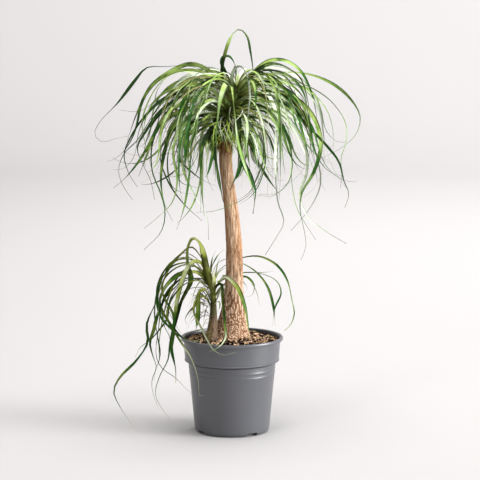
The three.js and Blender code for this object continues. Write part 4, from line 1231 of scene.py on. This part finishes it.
def cut_drains(pot):
    for quarter in range(4):
        angle = math.radians(DRAIN_TURN + 90 * quarter)
        deselect()
        bpy.ops.mesh.primitive_cube_add(
            size=1, location=(DRAIN_PLACE * math.cos(angle), DRAIN_PLACE * math.sin(angle), 0.0015),
            rotation=(0, 0, angle), scale=DRAIN_SIZE)
        cutter = name_piece("drain")
        set_down(cutter)
        apply_modifier(cutter, "BEVEL", width=0.0012, segments=2)
        apply_modifier(pot, "BOOLEAN", operation="DIFFERENCE", object=cutter, solver="EXACT")
        bpy.data.objects.remove(cutter)


def mark_inside(pot, sizes):
    """Marks the inner wall above the bed, which the pot's material paints near black as painted shade."""
    points = points_of(pot)
    radius, high = np.hypot(points[:, 0], points[:, 1]), points[:, 2]
    outer = np.interp(
        high, (0.15, sizes.height - LIP_HIGH), (sizes.body_radius + STEP_OUT, sizes.collar_radius))
    inside = radius < outer - sizes.wall / 2
    mark(pot, "stained", inside & (high > 0.145) & (high < sizes.height - 0.001))


class PALM_OT_pot(bpy.types.Operator):
    """Spins the tapered pot from its section, cuts its drain openings and marks its inside above the bed for
    painted shade
    """

    bl_idname = "palm.pot"
    bl_label = "Pot"

    def execute(self, context):
        sizes = context.scene.palm_pot
        pot = turned_body("pot_shell", pot_outline(sizes), sides=160)
        cut_drains(pot)
        mark_inside(pot, sizes)
        shade(pot, 28)
        pot_plastic(sizes).paint(pot)
        finish_piece(pot, "pot")
        return {"FINISHED"}


def model_chips(draw):
    """A few chip shapes: split, roughened blocks."""
    chips = []
    for shape in range(6):
        deselect()
        bpy.ops.mesh.primitive_cube_add(size=1, location=(0, 0, 0))
        chip = name_piece("chip")
        chip.scale = (1, draw(0.42, 0.75), draw(0.22, 0.42))
        set_down(chip)
        edit_all()
        bpy.ops.mesh.subdivide(number_cuts=1)
        bpy.ops.transform.vertex_random(offset=0.16, seed=shape + 1)
        bpy.ops.object.mode_set(mode="OBJECT")
        chips.append(chip)
    return chips


def bed_height(radius, sizes):
    """The bed rises from the pot's wall to the stems."""
    outer, slope = 0.0975, 0.0455
    return mix(sizes.rim, sizes.mound, float(smooth((outer - radius) / slope)))


def scatter_chips(sizes, draw):
    """Chips by the golden angle, each turned and toned by draws, clear of both stems."""
    innermost, outermost, tilt = 0.030, 0.0945, 0.6
    models = model_chips(draw)
    chips = []
    for index in range(sizes.chips):
        share = math.sqrt((index + 0.5) / sizes.chips)
        radius = mix(innermost, outermost, share)
        heading = index * GOLDEN_ANGLE + draw(-0.1, 0.1)
        length = sizes.chip_length * draw(0.45, 1.35) * (1.5 if draw(0, 1) > 0.93 else 1)
        lift = draw(-0.002, 0.003)
        turn = np.array(Euler((draw(-tilt, tilt), draw(-tilt, tilt), draw(0, 2 * math.pi))).to_matrix())
        tone = 0.02 + 0.98 * float(smooth(draw(-0.5, 1.05)))
        x, y = radius * math.cos(heading), radius * math.sin(heading)
        if any(math.hypot(x - foot_x, y - foot_y) < clear for foot_x, foot_y, clear in STEM_FEET):
            continue
        chip = copied(models[index % len(models)])
        reach = min(1, (BED_RADIUS - radius) / (0.6 * length))
        place = points_of(chip) * length * max(0.4, reach)
        put_points(chip, place @ turn.T + np.array([x, y, bed_height(radius, sizes) + lift]))
        mark(chip, "tone", tone)
        chips.append(chip)
    for model in models:
        bpy.data.objects.remove(model)
    return chips


def scatter_fibres(sizes, draw):
    """Dry curled fibres that lie on the chips, in millimetres."""
    nearest, farthest = 42, 93
    blade = model_blade(SCRAP_ROWS)
    fibres = []
    for index in range(sizes.fibres):
        radius, around = draw(46, 90), index * GOLDEN_ANGLE
        heading, curl, reach = draw(0, 2 * math.pi), draw(-1.6, 1.6), draw(4, 9)
        x, y = radius * math.cos(around), radius * math.sin(around)
        course = []
        for lift in (2, 4.5, 5, 2.5):
            course.append([x, y, bed_height(math.hypot(x, y) * MM, sizes) / MM + lift])
            x += reach * math.cos(heading)
            y += reach * math.sin(heading)
            heading += curl / 3
        away = [math.hypot(x, y) for x, y, _ in course]
        if max(away) < farthest and min(away) > nearest:
            fibres.append(lay_blade(blade, course, draw(1.2, 2), 0, 1.5, 0.5, 0.3))
    bpy.data.objects.remove(blade)
    return fibres


def bed_outline(sizes):
    """The bed's section, just inside the pot's, and over its mound to the middle."""
    spots = np.linspace(BED_RADIUS, 0.012, 18)
    surface = [(radius, bed_height(radius, sizes) - BED_SINK) for radius in spots]
    return [
        (0, BED_FLOOR), (0.066, BED_FLOOR), (0.0755, 0.012), (0.0878, 0.1455), (0.0948, 0.151),
        *surface, (0, sizes.mound - BED_SINK),
    ]


class PALM_OT_bed(bpy.types.Operator):
    """Fills the pot with a mounded bed and scatters loose chips and fibres over it"""

    bl_idname = "palm.bed"
    bl_label = "Bark chips"

    def execute(self, context):
        sizes = context.scene.palm_bed
        draw = draws_from(9113)
        bed = turned_body("bed", bed_outline(sizes), sides=96)
        points = points_of(bed)
        for index, (x, y, z) in enumerate(points):
            if z > sizes.rim - 2 * BED_SINK and math.hypot(x, y) < BED_RADIUS - BED_SINK:
                points[index, 2] += 0.0016 * noise.noise(Vector((x, y, 0)) * 260)
        put_points(bed, points)
        # A tone of nought paints the bed near black, as painted shade under the chips.
        mark(bed, "tone", 0)
        bed = join_pieces([bed, *scatter_chips(sizes, draw), *scatter_fibres(sizes, draw)], "bark_bed")
        shade(bed, 25)
        chip_bark(sizes).paint(bed)
        finish_piece(bed, "bark_chips")
        return {"FINISHED"}


def line_between(value, half):
    """1 on the line where a noise passes through nought, falling off to both sides."""
    return float(smooth(1 - abs(value) / half))


def carve_bark(trunk, sizes):
    """Sinks long furrows into the trunk and cracks between plates into its foot, and marks its left side for
    painted shade.
    """
    points = points_of(trunk)
    depth = np.zeros(len(points))
    weathered = np.zeros(len(points))
    for index, (x, y, z) in enumerate(points / MM):
        middle_x, middle_y, radius = section_at(TRUNK_STATIONS, z)
        away = math.hypot(x - middle_x, y - middle_y)
        if away < 0.6 * radius or z < 185:
            continue
        angle = math.atan2(y - middle_y, x - middle_x)
        girth_x, girth_y = radius * math.cos(angle), radius * math.sin(angle)
        # The foot is plated, and the stem above it is furrowed
        plated = float(smooth((330 - z) / 110))
        drift = 2.2 * noise.noise(Vector((girth_x * 0.08, girth_y * 0.08, z * 0.035)))
        drift += 0.9 * noise.noise(Vector((girth_x * 0.3, girth_y * 0.3, z * 0.3)))
        # The higher, the longer the cells
        stretched = float(np.interp(z, (150, 240, 330, 610), (0, 90, 134, 176)))
        spread = Vector((girth_x + drift, girth_y - drift, stretched)) / mix(5.2, 3.5, plated)
        distances, _ = noise.voronoi(spread)
        crack = 1 - float(smooth((distances[1] - distances[0]) / mix(0.17, 0.35, plated)))
        # Fine furrows between the cells, and where the furrows break off
        upright = z * 0.03
        fine = line_between(noise.noise(Vector((girth_x * 0.42, girth_y * 0.42, upright + 40))), 0.2)
        patchy = noise.noise(Vector((girth_x * 0.2, girth_y * 0.2, upright + 90)))
        broken = float(smooth(0.7 + 1.6 * patchy))
        depth[index] = mix(broken * max(crack, 0.7 * fine), crack, plated)
        sunk = mix(sizes.furrow, sizes.crack, plated) / MM * depth[index]
        # Soft unevenness all over, and painted shade in brown on the left side, away from the light from the
        # right
        swell = 0.6 * noise.noise(Vector((girth_x, girth_y, z * 0.4)) * 0.1)
        reach = (away - sunk + swell) / away
        points[index, 0] = (middle_x + (x - middle_x) * reach) * MM
        points[index, 1] = (middle_y + (y - middle_y) * reach) * MM
        weathered[index] = 0.85 * smooth(-math.cos(angle + 0.3) + 0.1)
    put_points(trunk, points)
    mark(trunk, "furrow", depth)
    mark(trunk, "weathered", weathered)


def dry_scales(sizes):
    """Pointed dry leaf bases that clasp the top of the trunk."""
    blade = model_blade(SCRAP_ROWS)
    draw = draws_from(613)
    scales = []
    for index in range(sizes.scales):
        heading = index * GOLDEN_ANGLE
        z = mix(576, 590, index / sizes.scales)
        x, y, radius = section_at(TRUNK_STATIONS, z)
        long, proud = draw(9, 18), draw(0.8, 3.2)
        course = [
            [x + (radius + out) * math.cos(heading), y + (radius + out) * math.sin(heading), z + up]
            for out, up in ((-1.5, -3), (0.5, long * 0.45), (proud, long))
        ]
        scale = lay_blade(blade, course, draw(6, 9), 0, draw(0, 1), 0.3)
        mark(scale, "scale", 1)
        scales.append(scale)
    bpy.data.objects.remove(blade)
    return scales


class PALM_OT_trunk(bpy.types.Operator):
    """Draws the trunk up from its swollen foot and carves its bark"""

    bl_idname = "palm.trunk"
    bl_label = "Trunk"

    def execute(self, context):
        sizes = context.scene.palm_trunk
        trunk = stem_body("trunk_bark", TRUNK_STATIONS, sizes.sides, TRUNK_LEVELS)
        carve_bark(trunk, sizes)
        trunk = join_pieces([trunk, *dry_scales(sizes)], "trunk_bark")
        shade(trunk, 60)
        trunk_bark(sizes).paint(trunk)
        finish_piece(trunk, "trunk")
        return {"FINISHED"}


class PALM_OT_crown(bpy.types.Operator):
    """Lays the crown's ribbon leaves along their courses and joins them to their core"""

    bl_idname = "palm.crown"
    bl_label = "Crown"

    def execute(self, context):
        sizes = context.scene.palm_crown
        blade = model_blade(LONG_ROWS)
        leaves = leaves_along(
            blade, CROWN_COURSES, CROWN_TONES, draws_from(31), broad=1, turned=2, flare=0.6)
        draw = draws_from(53)
        for width, twist, dry, course in FINE_CROWN_COURSES:
            tone = 0.3 * draw(0, 1) - 0.5
            leaves.append(lay_blade(blade, course, width * 1.35, twist * 2.4, tone, 0.7, 0.3, 0.15 * dry))
        leaves += fountain_leaves(
            blade, sizes.framed_leaves, draws_from(20817), size=1, curled=1.3, widths=(6, 10),
            narrowest=0.45, slimmest=0.5, right=0.74, shift=0, darkest=-0.25)
        leaves += fountain_leaves(
            blade, sizes.added_leaves, draws_from(5077), size=0.72, curled=1.5, widths=(3.5, 7),
            narrowest=0.4, slimmest=0.45, right=0.72, shift=0.3, darkest=-0.2)
        draw = draws_from(733)
        for index in range(sizes.wisps):
            course = fountain_course(index, sizes.wisps, draw, 1, 1.7)
            width, twist, tone = draw(1.6, 3), draw(-90, 90), draw(0, 0.4)
            leaves.append(lay_blade(blade, course, width, twist, tone, 0.2, 0.8, draw(0, 0.8)))
        bpy.data.objects.remove(blade)
        leaves += short_leaves(draws_from(1207))
        crown = join_pieces([*leaves, leaf_core(CROWN_STATIONS, CROWN_LEVELS, 0.1)], "crown")
        shade(crown, 50)
        # The last number is the painted shade on the crown's left.
        leaf_green("crown leaf", sizes, CROWN_LEAF_FOOT, CROWN_LEAF_TIP, 0.86, -0.6).paint(crown)
        finish_piece(crown, "crown_leaves")
        return {"FINISHED"}


class PALM_OT_shoot_stem(bpy.types.Operator):
    """Draws up the shoot's purple-brown sheathed stem"""

    bl_idname = "palm.shoot_stem"
    bl_label = "Shoot stem"

    def execute(self, context):
        stem = stem_body("shoot_sheath", SHOOT_STEM_STATIONS, 48, SHOOT_STEM_LEVELS)
        shade(stem, 60)
        sheath_skin(context.scene.palm_shoot).paint(stem)
        finish_piece(stem, "shoot_stem")
        return {"FINISHED"}


class PALM_OT_shoot_leaves(bpy.types.Operator):
    """Lays the young shoot's leaves along their courses and joins them to their core"""

    bl_idname = "palm.shoot_leaves"
    bl_label = "Shoot leaves"

    def execute(self, context):
        sizes = context.scene.palm_shoot
        blade = model_blade(LONG_ROWS)
        leaves = leaves_along(
            blade, SHOOT_COURSES, SHOOT_TONES, draws_from(77), broad=0.74, turned=2.4, flare=0.3)
        draw = draws_from(29)
        for width, twist, course in FINE_SHOOT_COURSES:
            leaves.append(lay_blade(blade, course, width, twist * 2.4, 0.5 * draw(0, 1), 0.45, 0.3))
        draw = draws_from(391)
        for _ in range(sizes.hairs):
            course = hair_course(draw)
            leaves.append(lay_blade(blade, course, draw(1.1, 2), 40, 0.1, 0.3, 0.5, draw(0, 0.5)))
        leaves.append(lay_blade(blade, LIGHT_SHEATH, 9, 0, 1.2, 1, 0, 0.3))
        bpy.data.objects.remove(blade)
        shoot = join_pieces([*leaves, leaf_core(SHOOT_CORE_STATIONS, SHOOT_CORE_LEVELS, 0.05)], "shoot")
        shade(shoot, 50)
        # The last number is the painted shade on the shoot's left.
        leaf_green("shoot leaf", sizes, SHOOT_LEAF_FOOT, SHOOT_LEAF_TIP, 0.88, -0.05).paint(shoot)
        finish_piece(shoot, "shoot_leaves")
        return {"FINISHED"}


# Stage

def pale_floor(settings):
    """A wide round floor that sweeps up into a wall on all sides."""
    deselect()
    bpy.ops.mesh.primitive_circle_add(
        vertices=96, radius=FLOOR_RADIUS, fill_type="NGON", location=(0, 0, 0))
    floor = name_piece("floor")
    edit_all()
    bpy.ops.mesh.inset(thickness=FLOOR_MARGIN)
    bpy.ops.mesh.select_all(action="SELECT")
    bpy.ops.mesh.region_to_loop()
    bpy.ops.mesh.extrude_region_move(TRANSFORM_OT_translate={"value": (0, 0, BACKDROP_HEIGHT)})
    bpy.ops.mesh.select_all(action="SELECT")
    bpy.ops.mesh.normals_make_consistent(inside=True)
    bpy.ops.object.mode_set(mode="OBJECT")
    apply_modifier(floor, "BEVEL", width=BACKDROP_SWEEP, segments=16, limit_method="ANGLE")
    shade(floor, 60)
    look = Look("floor")
    look.surface((*settings.floor, 1), 0.9, 0.5)
    look.paint(floor)


def soft_light(name, place, aim, size, power):
    """A round lamp that lights the plant and isn't seen itself."""
    deselect()
    bpy.ops.object.light_add(type="AREA", location=place)
    lamp = name_piece(name)
    lamp.data.shape = "DISK"
    lamp.data.size = size
    lamp.data.energy = power
    lamp.visible_camera = False
    lamp.rotation_euler = (Vector(aim) - Vector(place)).to_track_quat("-Z", "Y").to_euler()


def even_light(strength):
    world = bpy.data.worlds.new("studio")
    bpy.context.scene.world = world
    world.use_nodes = True
    background = world.node_tree.nodes["Background"]
    background.inputs["Color"].default_value = DAYLIGHT
    background.inputs["Strength"].default_value = strength


class PALM_OT_stage(bpy.types.Operator):
    """Sets the pale floor, the soft studio light and the camera at the photograph's angle"""

    bl_idname = "palm.stage"
    bl_label = "Stage"

    def execute(self, context):
        settings = context.scene.palm_stage
        pale_floor(settings)
        even_light(settings.fill)
        for name, (place, aim, size) in LIGHTS.items():
            soft_light(name, place, aim, size, getattr(settings, name))
        deselect()
        bpy.ops.object.camera_add(location=CAMERA_PLACE, rotation=(math.radians(90 - CAMERA_DIP), 0, 0))
        camera = name_piece("camera")
        camera.data.sensor_width = SENSOR
        camera.data.lens = LENS
        camera.data.clip_end = 100
        context.scene.camera = camera
        context.scene.view_settings.view_transform = "Standard"
        return {"FINISHED"}


class PALM_PT_sidebar(bpy.types.Panel):
    bl_label = "Potted Palm"
    bl_space_type = "VIEW_3D"
    bl_region_type = "UI"
    bl_category = "Palm"

    def draw(self, context):
        for maker in MAKERS:
            self.layout.operator(maker.bl_idname)


SETTINGS = {
    "palm_pot": PotSettings,
    "palm_bed": BedSettings,
    "palm_trunk": TrunkSettings,
    "palm_crown": CrownSettings,
    "palm_shoot": ShootSettings,
    "palm_stage": StageSettings,
}
MAKERS = (
    PALM_OT_stage,
    PALM_OT_pot,
    PALM_OT_bed,
    PALM_OT_trunk,
    PALM_OT_crown,
    PALM_OT_shoot_stem,
    PALM_OT_shoot_leaves,
)


def register():
    for kind in (*SETTINGS.values(), *MAKERS, PALM_PT_sidebar):
        bpy.utils.register_class(kind)
    for name, kind in SETTINGS.items():
        setattr(bpy.types.Scene, name, bpy.props.PointerProperty(type=kind))


def unregister():
    for name in SETTINGS:
        delattr(bpy.types.Scene, name)
    for kind in (PALM_PT_sidebar, *reversed(MAKERS), *SETTINGS.values()):
        bpy.utils.unregister_class(kind)


def main():
    register()
    for maker in MAKERS:
        group, action = maker.bl_idname.split(".")
        getattr(getattr(bpy.ops, group), action)()


if __name__ == "__main__":
    main()
